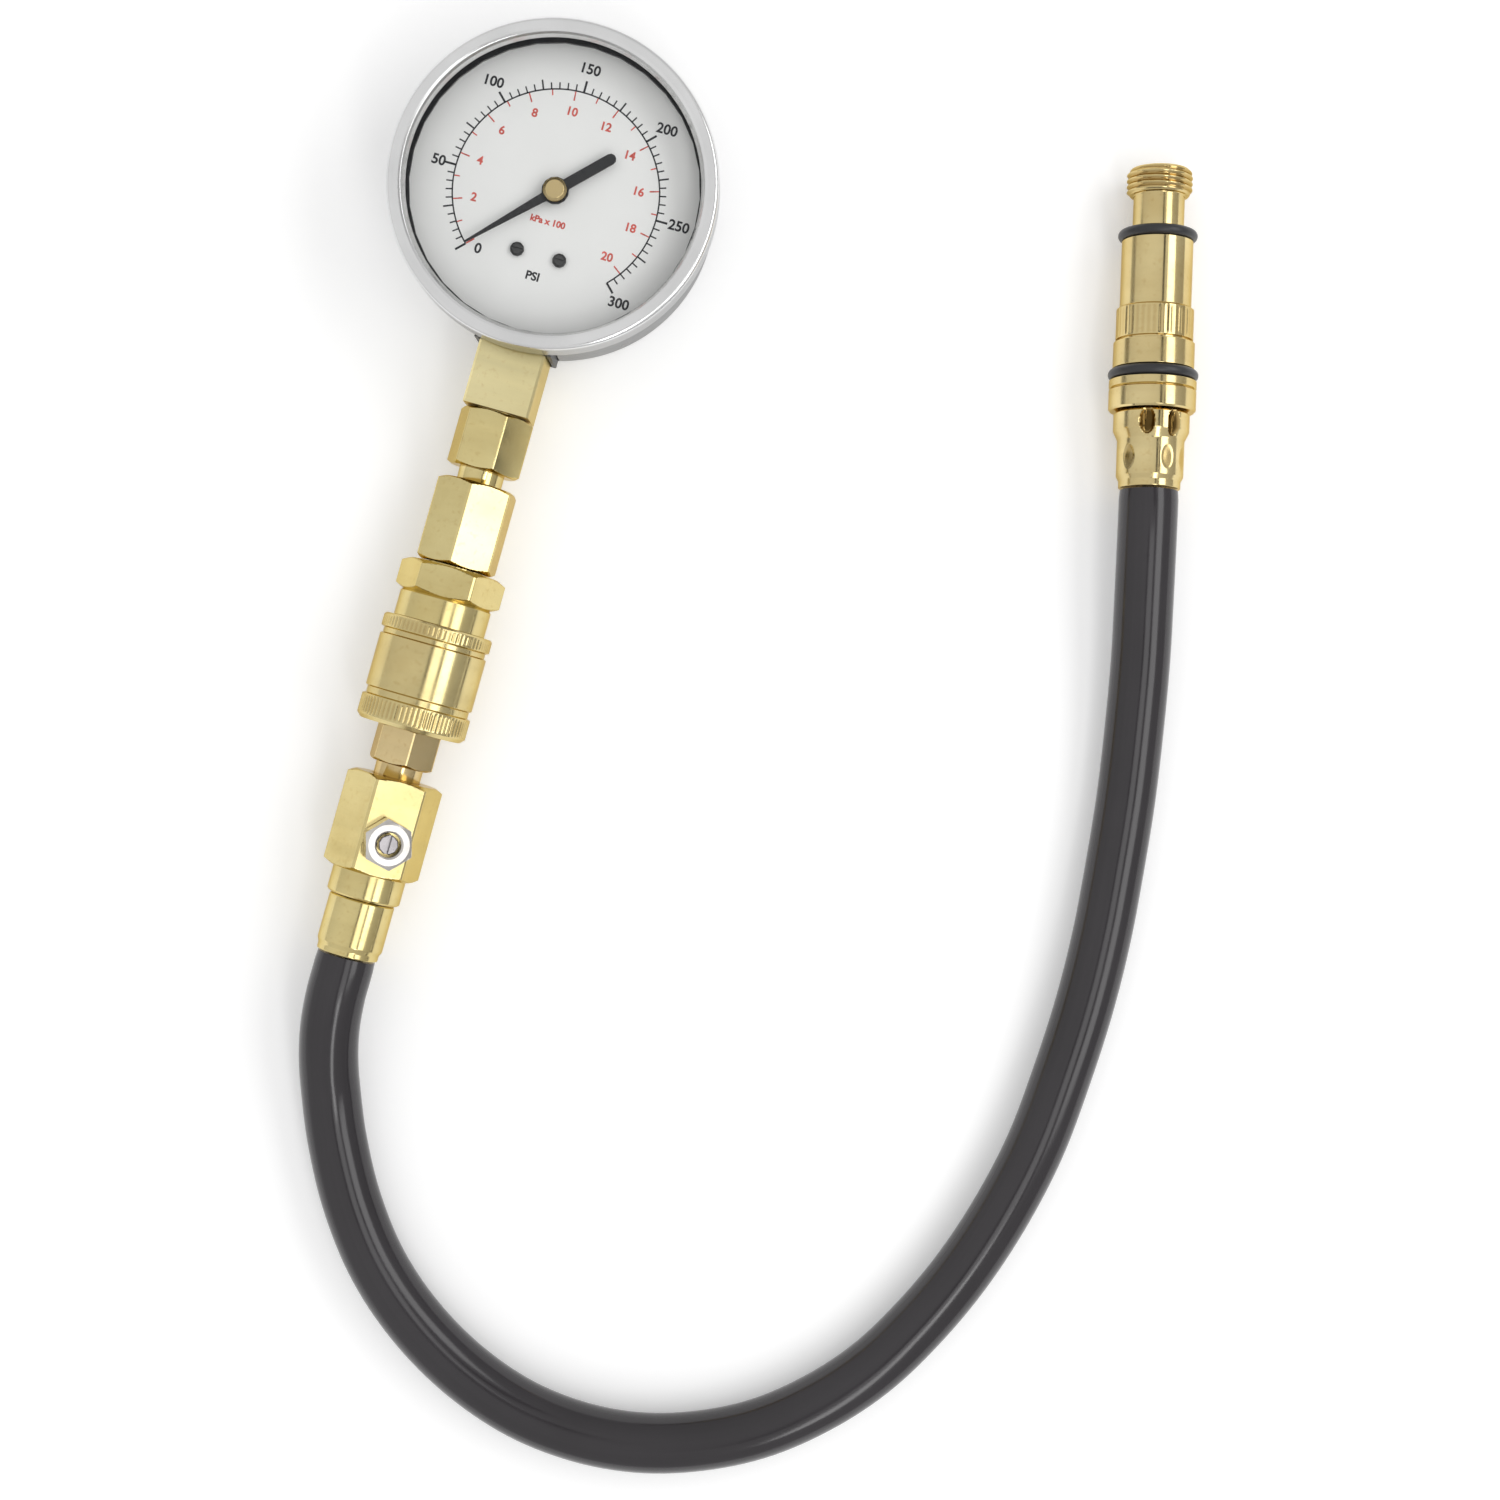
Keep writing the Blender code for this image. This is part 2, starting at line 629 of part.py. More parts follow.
RELEASE_AT = NEAR_FERRULE_END - RELEASE_FROM_HOSE
RELEASE_FACET = VALVE_ACROSS / 2
SECTOR_PITCH = TOOTH_MODULE * PINION_TEETH * GEAR_RATIO / 2
PINION_PITCH = TOOTH_MODULE * PINION_TEETH / 2
SECTOR_Y = -(SECTOR_PITCH + PINION_PITCH)


def make_case():
    inner_corner = CASE_CORNER - CASE_WALL
    inner = CASE_RADIUS - CASE_WALL
    outline = [(0, 0)]
    outline += arc(CASE_RADIUS - CASE_CORNER, CASE_CORNER, CASE_CORNER, -90, 0, 4)
    outline += [(CASE_RADIUS, CASE_RIM_Z), (inner, CASE_RIM_Z)]
    outline += arc(inner - inner_corner, CASE_BACK + inner_corner, inner_corner, 0, -90, 3)
    outline += [(0, CASE_BACK)]
    case = turned("case", outline, steel(), sides=FINE_SIDES)
    half = STEM_SQUARE / 2 + 2 * GAP + GROMMET_WALL
    low = (-half, -CASE_RADIUS - THROUGH, STEM_Z - half)
    high = (half, SOCKET_BLOCK_Y, STEM_Z + half)
    cut(case, block("case_stem_opening", low, high, None))
    for number, y in enumerate(CASE_SCREW_SPOTS):
        cone_low, cone_high = -THROUGH, CASE_BACK + THROUGH
        wide = CASE_SCREW_HEAD + GAP
        narrow = CASE_SCREW_SHANK + GAP
        outline = [(0, cone_low), (wide, cone_low), (wide, 0)]
        outline += [(narrow, CASE_BACK), (narrow, cone_high), (0, cone_high)]
        sink = turned(f"case_screw_hole_{number + 1}", outline, None, sides=SMALL_SIDES)
        sink.location = (0, y, 0)
        cut(case, sink)


def make_case_screws():
    for number, y in enumerate(CASE_SCREW_SPOTS):
        low = CASE_SCREW_SUNK
        outline = [
            (0, low),
            (CASE_SCREW_HEAD, low),
            (CASE_SCREW_SHANK, low + CASE_BACK - GAP),
            (CASE_SCREW_SHANK, low + CASE_SCREW_LENGTH),
            (0, low + CASE_SCREW_LENGTH),
        ]
        screw = turned(f"case_screw_{number + 1}", outline, steel(), sides=SMALL_SIDES)
        screw.location = (0, y, 0)


def make_bezel():
    """Rolled sheet: a hem over the case, a round crown, and a lip that holds the lens."""
    sheet = BEZEL_SHEET
    bore = BEZEL_RADIUS - sheet
    crown_inner = BEZEL_RADIUS - BEZEL_CROWN_WIDTH - sheet
    round_radius = BEZEL_CROWN_WIDTH
    under = BEZEL_CROWN_Z - sheet
    edge, slope = BEZEL_LIP_EDGE, BEZEL_LIP_SLOPE
    outline = [(LENS_OPENING, BEZEL_LIP_Z), (LENS_OPENING, BEZEL_LIP_Z + edge)]
    outline += [(LENS_OPENING + slope, under), (LENS_OPENING + sheet, BEZEL_CROWN_Z - edge / 2)]
    outline += [(crown_inner, BEZEL_CROWN_Z)]
    outline += arc(BEZEL_RADIUS - round_radius, BEZEL_CROWN_Z - round_radius, round_radius, 90, 0, 3)
    outline += [(BEZEL_RADIUS, BEZEL_HEM_Z), (bore, BEZEL_HEM_Z)]
    outline += [(bore, under - sheet), (bore - sheet, under)]
    outline += [(LENS_OPENING + sheet + slope, under), (LENS_OPENING + sheet + slope / 2, BEZEL_LIP_Z)]
    turned("bezel_ring", outline, steel(), sides=FINE_SIDES)


def make_lens():
    glass = material("clear glass", (0.9, 0.92, 0.93), 0.05, 0.0)
    top = LENS_Z + LENS_THICKNESS
    outline = [(0, LENS_Z), (LENS_RADIUS, LENS_Z), (LENS_RADIUS, top), (0, top)]
    turned("lens", outline, glass, sides=FINE_SIDES)
    top = GASKET_Z + GASKET_THICKNESS
    inner = LENS_RADIUS - GASKET_WIDTH
    outline = [(inner, GASKET_Z), (LENS_RADIUS, GASKET_Z), (LENS_RADIUS, top), (inner, top)]
    turned("lens_gasket", outline, rubber(), sides=FINE_SIDES)


def make_dial():
    paint = material("dial white", (0.82, 0.83, 0.84), 0.4, 0.0)
    rim = CASE_RADIUS - CASE_WALL - DIAL_EDGE_GAP
    top = DIAL_Z + DIAL_THICKNESS
    outline = [(DIAL_HOLE, DIAL_Z), (rim, DIAL_Z), (rim, top), (DIAL_HOLE, top)]
    dial = turned("dial_plate", outline, paint, sides=FINE_SIDES)
    for side, name in ((-1, "left"), (1, "right")):
        x = side * DIAL_SCREW_X
        hole = DIAL_SCREW_SHANK + GAP
        cutter = rod("dial_hole_" + name, hole, DIAL_Z - THROUGH, top + THROUGH, x=x, y=DIAL_SCREW_Y)
        cut(dial, cutter)
        make_dial_screw("dial_screw_" + name, x, top + GAP)


def make_dial_screw(name, x, seat):
    head = seat + DIAL_SCREW_HEAD_HEIGHT
    tip = seat - DIAL_SCREW_LENGTH
    outline = [
        (0, tip),
        (DIAL_SCREW_SHANK, tip),
        (DIAL_SCREW_SHANK, seat),
        (DIAL_SCREW_HEAD, seat),
        (DIAL_SCREW_HEAD, seat + 0.6 * DIAL_SCREW_HEAD_HEIGHT),
        (0.7 * DIAL_SCREW_HEAD, head),
        (0, head),
    ]
    screw = turned(name, outline, dark_steel(), sides=SMALL_SIDES)
    screw.location = (x, DIAL_SCREW_Y, 0)
    half = DIAL_SCREW_SLOT / 2
    reach = DIAL_SCREW_HEAD + THROUGH
    floor = head - 0.45 * DIAL_SCREW_HEAD_HEIGHT
    slot = block(name + "_slot", (-reach, -half, floor), (reach, half, head + THROUGH), None)
    slot.location = screw.location
    cut(screw, slot)


def make_pointer(axis):
    """A stamped hand: a long tapered blade, an eye round the hub and a round-ended tail."""
    tail_half = POINTER_TAIL_WIDTH / 2
    root_half = POINTER_ROOT_WIDTH / 2
    tip_half = POINTER_TIP_WIDTH / 2
    eye_turn = math.degrees(math.asin(root_half / POINTER_EYE))
    tail_turn = math.degrees(math.asin(tail_half / POINTER_EYE))
    outline = [(POINTER_LENGTH, -tip_half), (POINTER_LENGTH, tip_half)]
    outline += arc(0, 0, POINTER_EYE, eye_turn, 180 - tail_turn, 5)
    outline += arc(tail_half - POINTER_TAIL, 0, tail_half, 90, 270, 5)
    outline += arc(0, 0, POINTER_EYE, 180 + tail_turn, 360 - eye_turn, 5)
    paint = material("pointer black", (0.015, 0.015, 0.017), 0.4, 0.0)
    top = POINTER_Z + POINTER_THICKNESS
    pointer = extruded("pointer", outline, POINTER_Z, top, paint, axis)
    pointer.rotation_euler = (0, 0, math.radians(POINTER_ZERO_DEG))
    hole = rod("pointer_hole", POINTER_HUB_SLEEVE + GAP, POINTER_Z - THROUGH, top + THROUGH, axis)
    cut(pointer, hole)
    seat = top + GAP
    bore = ARBOR_RADIUS + GAP
    crown = seat + POINTER_HUB_HEIGHT
    floor = DIAL_Z + DIAL_THICKNESS + GAP
    bore_top = seat + 0.4 * POINTER_HUB_HEIGHT
    outline = [
        (0, bore_top),
        (bore, bore_top),
        (bore, floor),
        (POINTER_HUB_SLEEVE, floor),
        (POINTER_HUB_SLEEVE, seat),
        (POINTER_HUB, seat),
        (POINTER_HUB, crown - 0.4 * POINTER_HUB_HEIGHT),
        (0.75 * POINTER_HUB, crown),
        (0, crown),
    ]
    turned("pointer_hub", outline, brass(), axis, SMALL_SIDES + 4)


def half_tooth(teeth, shift, radius):
    """The angle from a tooth's middle to its flank at a radius, on an involute flank."""
    pitch = TOOTH_MODULE * teeth / 2
    thickness = TOOTH_MODULE * (math.pi / 2 + 2 * shift * math.tan(PRESSURE_ANGLE)) - TOOTH_THINNING
    base = pitch * math.cos(PRESSURE_ANGLE)
    pressure = math.acos(min(1.0, base / max(radius, base)))
    start = thickness / (2 * pitch)
    return start + (math.tan(PRESSURE_ANGLE) - PRESSURE_ANGLE) - (math.tan(pressure) - pressure)


def tooth_flank(teeth, shift, steps):
    """Pairs of radius and half angle up one flank, from root to tip."""
    pitch = TOOTH_MODULE * teeth / 2
    base = pitch * math.cos(PRESSURE_ANGLE)
    root = pitch + TOOTH_MODULE * (shift - TOOTH_DEDENDUM)
    tip = pitch + TOOTH_MODULE * (shift + TOOTH_ADDENDUM)
    start = max(root, base)
    radii = [start + (tip - start) * i / steps for i in range(steps + 1)]
    if root < base:
        radii.insert(0, root)
    return [(r, half_tooth(teeth, shift, r)) for r in radii]


def toothed(teeth, shift, steps, middles):
    """The outline of teeth whose middles stand at the given angles, anticlockwise."""
    flank = tooth_flank(teeth, shift, steps)
    points = []
    for middle in middles:
        points += [(r * math.cos(middle - a), r * math.sin(middle - a)) for r, a in flank]
        points += [(r * math.cos(middle + a), r * math.sin(middle + a)) for r, a in reversed(flank)]
    return points


def make_pinion(axis):
    pitch = 2 * math.pi / PINION_TEETH
    middles = [-math.pi / 2 + pitch * (i + 0.5) for i in range(PINION_TEETH)]
    outline = toothed(PINION_TEETH, TOOTH_SHIFT, 2, middles)
    pinion = extruded("pinion", outline, PINION_Z, PINION_Z + PINION_LENGTH, brass(), axis)
    arbor = rod("pinion_arbor", ARBOR_RADIUS, ARBOR_FOOT_Z, POINTER_Z + POINTER_THICKNESS, axis)
    join(pinion, arbor)


def make_sector(axis):
    """A toothed rim on a web, a hub round the staff, and a tail that the link pulls."""
    teeth = PINION_TEETH * GEAR_RATIO
    pitch_deg = 360.0 / teeth
    first = 90.0 - pitch_deg * SECTOR_TEETH_AHEAD
    middles = [math.radians(first + pitch_deg * i) for i in range(SECTOR_TEETH)]
    outline = toothed(teeth, -TOOTH_SHIFT, 2, middles)
    start_deg = first - 0.7 * pitch_deg
    end_deg = first + pitch_deg * (SECTOR_TEETH - 0.3)
    root = SECTOR_PITCH - TOOTH_MODULE * (TOOTH_SHIFT + TOOTH_DEDENDUM)
    rim = root - SECTOR_RIM
    tail_x = SECTOR_TAIL * math.cos(math.radians(SECTOR_TAIL_DEG))
    tail_y = SECTOR_TAIL * math.sin(math.radians(SECTOR_TAIL_DEG))
    outline += [polar(root, end_deg)]
    outline += [polar(rim, end_deg)]
    outline += arc(0, 0, SECTOR_HUB, end_deg + 30, 360 + SECTOR_TAIL_DEG - 35, 6)
    outline += arc(tail_x, tail_y, SECTOR_TAIL_EYE, SECTOR_TAIL_DEG - 90, SECTOR_TAIL_DEG + 90, 6)
    outline += arc(0, 0, SECTOR_HUB, SECTOR_TAIL_DEG + 35, start_deg - 30, 2)
    outline += [polar(rim, start_deg)]
    outline += [polar(root, start_deg)]
    top = SECTOR_Z + SECTOR_THICKNESS
    sector = extruded("sector_gear", outline, SECTOR_Z, top, brass(), axis)
    cut(sector, rod("sector_staff_hole", STAFF_RADIUS + GAP, SECTOR_Z - THROUGH, top + THROUGH, axis))
    low, high = SECTOR_Z - THROUGH, top + THROUGH
    cut(sector, rod("sector_tail_hole", LINK_PIN + GAP, low, high, axis, x=tail_x, y=tail_y))
    for change in sector.modifiers:
        change.use_self = True
    outline = [(0, STAFF_FOOT_Z), (STAFF_RADIUS, STAFF_FOOT_Z)]
    outline += [(STAFF_RADIUS, STAFF_TOP_Z), (0, STAFF_TOP_Z)]
    turned("sector_staff", outline, steel(), axis, SMALL_SIDES)
    make_pin("link_pin", SECTOR_Z, axis, tail_x, tail_y)
    return tail_x, tail_y


def make_pin(name, foot, axis, x, y):
    """A headed pin through the link, whose foot is at the height given."""
    seat = LINK_Z + LINK_THICKNESS + GAP
    head = seat + LINK_PIN_HEAD_HEIGHT
    outline = [
        (0, foot),
        (LINK_PIN, foot),
        (LINK_PIN, seat),
        (LINK_PIN_HEAD, seat),
        (LINK_PIN_HEAD, head),
        (0, head),
    ]
    pin = turned(name, outline, steel(), axis, SMALL_SIDES - 2)
    pin.location = (x, y, 0)


def make_link(tail_x, tail_y, sector_axis):
    """The link is on the tail pin. Its other eye lies over the tube tip's lug and carries the tip pin."""
    axis = empty("link_axis", (tail_x, tail_y, 0), parent=sector_axis)
    pin_angle = math.radians(TIP_PIN_DEG)
    tip_x = TIP_PIN_RADIUS_AT * math.cos(pin_angle) - tail_x
    tip_y = TIP_PIN_RADIUS_AT * math.sin(pin_angle) - SECTOR_Y - tail_y
    length = math.hypot(tip_x, tip_y)
    heading = math.atan2(tip_y, tip_x)
    half = LINK_WIDTH / 2
    turn = math.degrees(math.asin(half / LINK_EYE))
    outline = arc(0, 0, LINK_EYE, turn, 360 - turn, 8)
    outline += arc(length, 0, LINK_EYE, turn - 180, 180 - turn, 8)
    top = LINK_Z + LINK_THICKNESS
    link = extruded("link", outline, LINK_Z, top, steel(), axis)
    link.rotation_euler = (0, 0, heading)
    hole = LINK_PIN + GAP
    cut(link, rod("link_hole", hole, LINK_Z - THROUGH, top + THROUGH, axis))
    cut(link, rod("link_tip_hole", hole, LINK_Z - THROUGH, top + THROUGH, axis, x=tip_x, y=tip_y))
    make_pin("tip_pin", LINK_Z, axis, tip_x, tip_y)


def make_hairspring(axis):
    """A flat spiral strip round the pinion's arbor."""
    per_turn = 10
    count = HAIRSPRING_TURNS * per_turn + 1
    half = HAIRSPRING_STRIP / 2
    top = HAIRSPRING_Z + HAIRSPRING_HEIGHT
    made = bmesh.new()
    rings = []
    for i in range(count):
        angle = 2 * math.pi * i / per_turn
        middle = HAIRSPRING_INNER + half + HAIRSPRING_PITCH * i / per_turn
        corners = [(middle - half, HAIRSPRING_Z), (middle + half, HAIRSPRING_Z)]
        corners += [(middle + half, top), (middle - half, top)]
        ring = []
        for radius, height in corners:
            ring.append(made.verts.new((radius * math.cos(angle), radius * math.sin(angle), height)))
        rings.append(ring)
    for a, b in zip(rings[:-1], rings[1:]):
        for k in range(4):
            made.faces.new((a[k], a[(k + 1) % 4], b[(k + 1) % 4], b[k]))
    made.faces.new(rings[0])
    made.faces.new(rings[-1])
    solid("hairspring", made, steel(), axis)


def plate_outline():
    return rounded_box(-PLATE_HALF_WIDTH, PLATE_HALF_WIDTH, PLATE_BOTTOM_Y, PLATE_TOP_Y, PLATE_CORNER)


def make_plates():
    """Two plates on three pillars; the front one has the posts that the dial is screwed to."""
    back_top = BACK_PLATE_Z + PLATE_THICKNESS
    front_top = FRONT_PLATE_Z + PLATE_THICKNESS
    back = extruded("movement_back_plate", plate_outline(), BACK_PLATE_Z, back_top, brass())
    front = extruded("movement_front_plate", plate_outline(), FRONT_PLATE_Z, front_top, brass())
    post_top = DIAL_Z - GAP
    screw_floor = DIAL_Z + DIAL_THICKNESS + GAP - DIAL_SCREW_LENGTH - GAP
    for side, name in ((-1, "left"), (1, "right")):
        x = side * DIAL_SCREW_X
        foot = FRONT_PLATE_Z + PLATE_THICKNESS / 2
        wide = 2 * DIAL_SCREW_SHANK + GAP
        join(front, rod("dial_post_" + name, wide, foot, post_top, x=x, y=DIAL_SCREW_Y))
        hole = DIAL_SCREW_SHANK + GAP
        cut(front, rod("post_hole_" + name, hole, screw_floor, post_top + THROUGH, x=x, y=DIAL_SCREW_Y))
    for plate, low, label in ((back, BACK_PLATE_Z, "back"), (front, FRONT_PLATE_Z, "front")):
        high = low + PLATE_THICKNESS + THROUGH
        low = low - THROUGH
        cut(plate, rod("arbor_hole_" + label, ARBOR_RADIUS + GAP, low, high))
        cut(plate, rod("staff_hole_" + label, STAFF_RADIUS + GAP, low, high, y=SECTOR_Y))
        for number, (x, y) in enumerate(PILLAR_SPOTS):
            name = f"pillar_hole_{label}_{number + 1}"
            cut(plate, rod(name, PILLAR_SPIGOT + GAP, low, high, x=x, y=y))
    for number, (x, y) in enumerate(SOCKET_SCREW_SPOTS):
        name = f"socket_screw_hole_{number + 1}"
        hole = PILLAR_SPIGOT + GAP
        cut(back, rod(name, hole, BACK_PLATE_Z - THROUGH, back_top + THROUGH, x=x, y=y))


def make_pillars():
    low = BACK_PLATE_Z + PLATE_THICKNESS + GAP
    high = FRONT_PLATE_Z - GAP
    for number, (x, y) in enumerate(PILLAR_SPOTS):
        spigot_foot = BACK_PLATE_Z + GAP
        outline = [(0, spigot_foot), (PILLAR_SPIGOT, spigot_foot), (PILLAR_SPIGOT, low)]
        outline += [(PILLAR_RADIUS, low), (PILLAR_RADIUS, high), (0, high)]
        pillar = turned(f"movement_pillar_{number + 1}", outline, brass(), sides=SMALL_SIDES)
        pillar.location = (x, y, 0)
        hole = PILLAR_SPIGOT - GAP / 2
        depth = high - PLATE_SCREW_DEPTH
        cut(pillar, rod(f"pillar_thread_{number + 1}", hole, depth, high + THROUGH, x=x, y=y))
        seat = FRONT_PLATE_Z + PLATE_THICKNESS + GAP
        make_plate_screw(f"movement_screw_{number + 1}", x, y, seat, depth + GAP, PILLAR_SPIGOT - 1.5 * GAP)
    seat = BACK_PLATE_Z + PLATE_THICKNESS + GAP
    foot = BACK_PLATE_Z - SOCKET_SCREW_DEPTH
    for number, (x, y) in enumerate(SOCKET_SCREW_SPOTS):
        make_plate_screw(f"socket_screw_{number + 1}", x, y, seat, foot, PILLAR_SPIGOT)


def make_plate_screw(name, x, y, seat, foot, shank):
    head = seat + PLATE_SCREW_HEAD_HEIGHT
    outline = [(0, foot), (shank, foot), (shank, seat), (PLATE_SCREW_HEAD, seat)]
    chamfer = PLATE_SCREW_CHAMFER
    outline += [(PLATE_SCREW_HEAD, head - chamfer), (PLATE_SCREW_HEAD - chamfer, head), (0, head)]
    screw = turned(name, outline, steel(), sides=SMALL_SIDES - 2)
    screw.location = (x, y, 0)


def make_pressure_tube():
    """A flattened brass tube bent into a C, open at its root and closed by the cap at its tip."""
    stations = 16
    around = 8
    made = bmesh.new()
    layers = []
    for inset in (0.0, TUBE_WALL):
        rings = []
        for i in range(stations + 1):
            angle = math.radians(TUBE_ROOT_DEG - TUBE_SWEEP_DEG * i / stations)
            ring = []
            for k in range(around):
                turn = 2 * math.pi * (k + 0.5) / around
                radius = TUBE_RADIUS + (TUBE_HALF_THICKNESS - inset) * math.cos(turn)
                height = STEM_Z + (TUBE_HALF_HEIGHT - inset) * math.sin(turn)
                ring.append(made.verts.new((radius * math.cos(angle), radius * math.sin(angle), height)))
            rings.append(ring)
        layers.append(rings)
    for rings in layers:
        for a, b in zip(rings[:-1], rings[1:]):
            for k in range(around):
                j = (k + 1) % around
                made.faces.new((a[k], a[j], b[j], b[k]))
    for end in (0, -1):
        outer, inner = layers[0][end], layers[1][end]
        for k in range(around):
            j = (k + 1) % around
            made.faces.new((outer[k], outer[j], inner[j], inner[k]))
    solid("bourdon_tube", made, brass())


def make_tube_tip():
    """The soldered cap on the tube's end, with the lug that the link pulls."""
    start = TUBE_ROOT_DEG - TUBE_SWEEP_DEG - math.degrees(GAP / TUBE_RADIUS)
    half = TUBE_HALF_THICKNESS + TIP_CAP_PROUD
    outer = arc(0, 0, TUBE_RADIUS + half, start, start - TIP_CAP_DEG, 2)
    inner = arc(0, 0, TUBE_RADIUS - half, start - TIP_CAP_DEG, start, 2)
    low = STEM_Z - TUBE_HALF_HEIGHT
    high = STEM_Z + TUBE_HALF_HEIGHT
    tip = extruded("tube_tip", outer + inner, low, high, brass())
    lug_top = LINK_Z - GAP
    x = TIP_PIN_RADIUS_AT * math.cos(math.radians(TIP_PIN_DEG))
    y = TIP_PIN_RADIUS_AT * math.sin(math.radians(TIP_PIN_DEG))
    low_corner, high_corner = start - 0.9 * TIP_CAP_DEG, start - 0.2 * TIP_CAP_DEG
    outline = arc(0, 0, TUBE_RADIUS, low_corner, high_corner, 1)
    outline += arc(x, y, LINK_EYE, 75, 255, 5)
    lug = extruded("tube_tip_lug", outline, lug_top - TIP_LUG_THICKNESS, lug_top, None)
    join(tip, lug)


def make_socket():
    """One brass forging: the square stem, the block inside the case and the tongue under the movement."""
    half = STEM_SQUARE / 2
    inside = -CASE_RADIUS + CASE_WALL - GAP / 2
    outline = rounded_box(-half, half, -half, half, STEM_CHAMFER, 1)
    stem = extruded("stem_socket", outline, -inside, STEM_END, brass())
    stem.location = (0, 0, STEM_Z)
    stem.rotation_euler = (math.pi / 2, 0, 0)
    foot_z = CASE_BACK + GAP
    width = SOCKET_HALF_WIDTH
    overlap = 1.0 * MM
    low = (-width, inside - overlap, STEM_Z - width)
    join(stem, block("socket_block", low, (width, SOCKET_BLOCK_Y, SOCKET_TOP_Z), None))
    step = 0.2 * MM
    low = (-width + step, SOCKET_FOOT_Y, foot_z)
    high = (width - step, SOCKET_TONGUE_Y, BACK_PLATE_Z - GAP)
    join(stem, block("socket_tongue", low, high, None))
    frame = bpy.data.objects["stack_axis"]
    end = STEM_END + STEM_THREAD_LENGTH
    join(stem, rod("stem_thread", STEM_THREAD_RADIUS, STEM_END - overlap, end, frame, STACK_SIDES))
    cross_y = TUBE_RADIUS * math.sin(math.radians(TUBE_ROOT_DEG))
    cut(stem, rod("stem_bore", STEM_BORE, -cross_y, end + THROUGH, frame))
    passage = rod("tube_passage", STEM_BORE * 0.8, 0, width + THROUGH)
    passage.location = (0, cross_y, STEM_Z)
    passage.rotation_euler = (0, -math.pi / 2, 0)
    cut(stem, passage)
    for number, y in enumerate(CASE_SCREW_SPOTS):
        top = CASE_SCREW_SUNK + CASE_SCREW_LENGTH + GAP
        cut(stem, rod(f"case_screw_thread_{number + 1}", CASE_SCREW_SHANK + GAP, 0, top, y=y))
    for number, (x, y) in enumerate(SOCKET_SCREW_SPOTS):
        foot = BACK_PLATE_Z - SOCKET_SCREW_DEPTH - GAP
        name = f"socket_screw_thread_{number + 1}"
        cut(stem, rod(name, PILLAR_SPIGOT + GAP, foot, BACK_PLATE_Z + THROUGH, x=x, y=y))


def make_grommet():
    """A square rubber seal round the stem where it passes the case wall."""
    frame = bpy.data.objects["stack_axis"]
    inner = STEM_SQUARE / 2 + GAP
    outer = inner + GROMMET_WALL
    start = CASE_RADIUS - GROMMET_LENGTH + GROMMET_PROUD
    end = start + GROMMET_LENGTH
    outline = rounded_box(-outer, outer, -outer, outer, GROMMET_WALL, 2)
    grommet = extruded("stem_grommet", outline, start, end, rubber(), frame)
    low = (-inner, -inner, start - THROUGH)
    high = (inner, inner, end + THROUGH)
    cut(grommet, block("grommet_bore", low, high, None, frame))


def make_adapters(frame):
    thread = ADAPTER_THREAD_RADIUS
    bore = STEM_THREAD_RADIUS + GAP
    bore_end = STEM_END + STEM_THREAD_LENGTH + GAP
    thread_end = ADAPTER_END + ADAPTER_THREAD_LENGTH
    outline = hex_blank(ADAPTER_ACROSS, ADAPTER_START, ADAPTER_END, ADAPTER_CHAMFER)
    slope = THREAD_CHAMFER
    outline += [(thread, ADAPTER_END), (thread, thread_end - slope), (thread - slope, thread_end)]
    outline += [(FLOW_BORE, thread_end), (FLOW_BORE, bore_end), (bore, bore_end), (bore, ADAPTER_START)]
    adapter = turned("stem_adapter", outline, brass(), frame)
    hex_cut(adapter, ADAPTER_ACROSS, ADAPTER_START - THROUGH, ADAPTER_END + GAP, ADAPTER_TURN, frame)

    upper_bore = thread + GAP
    upper_floor = thread_end + GAP
    lower_bore = COUPLER_THREAD_RADIUS + GAP
    lower_floor = COUPLER_START - COUPLER_THREAD_LENGTH - GAP
    outline = hex_blank(LONG_HEX_ACROSS, LONG_HEX_START, LONG_HEX_END, LONG_HEX_CHAMFER)
    outline += [(lower_bore, LONG_HEX_END), (lower_bore, lower_floor), (FLOW_BORE, lower_floor)]
    outline += [(FLOW_BORE, upper_floor), (upper_bore, upper_floor), (upper_bore, LONG_HEX_START)]
    socket = turned("long_hex_adapter", outline, brass(), frame)
    hex_cut(socket, LONG_HEX_ACROSS, LONG_HEX_START - THROUGH, LONG_HEX_END + THROUGH, LONG_HEX_TURN, frame)


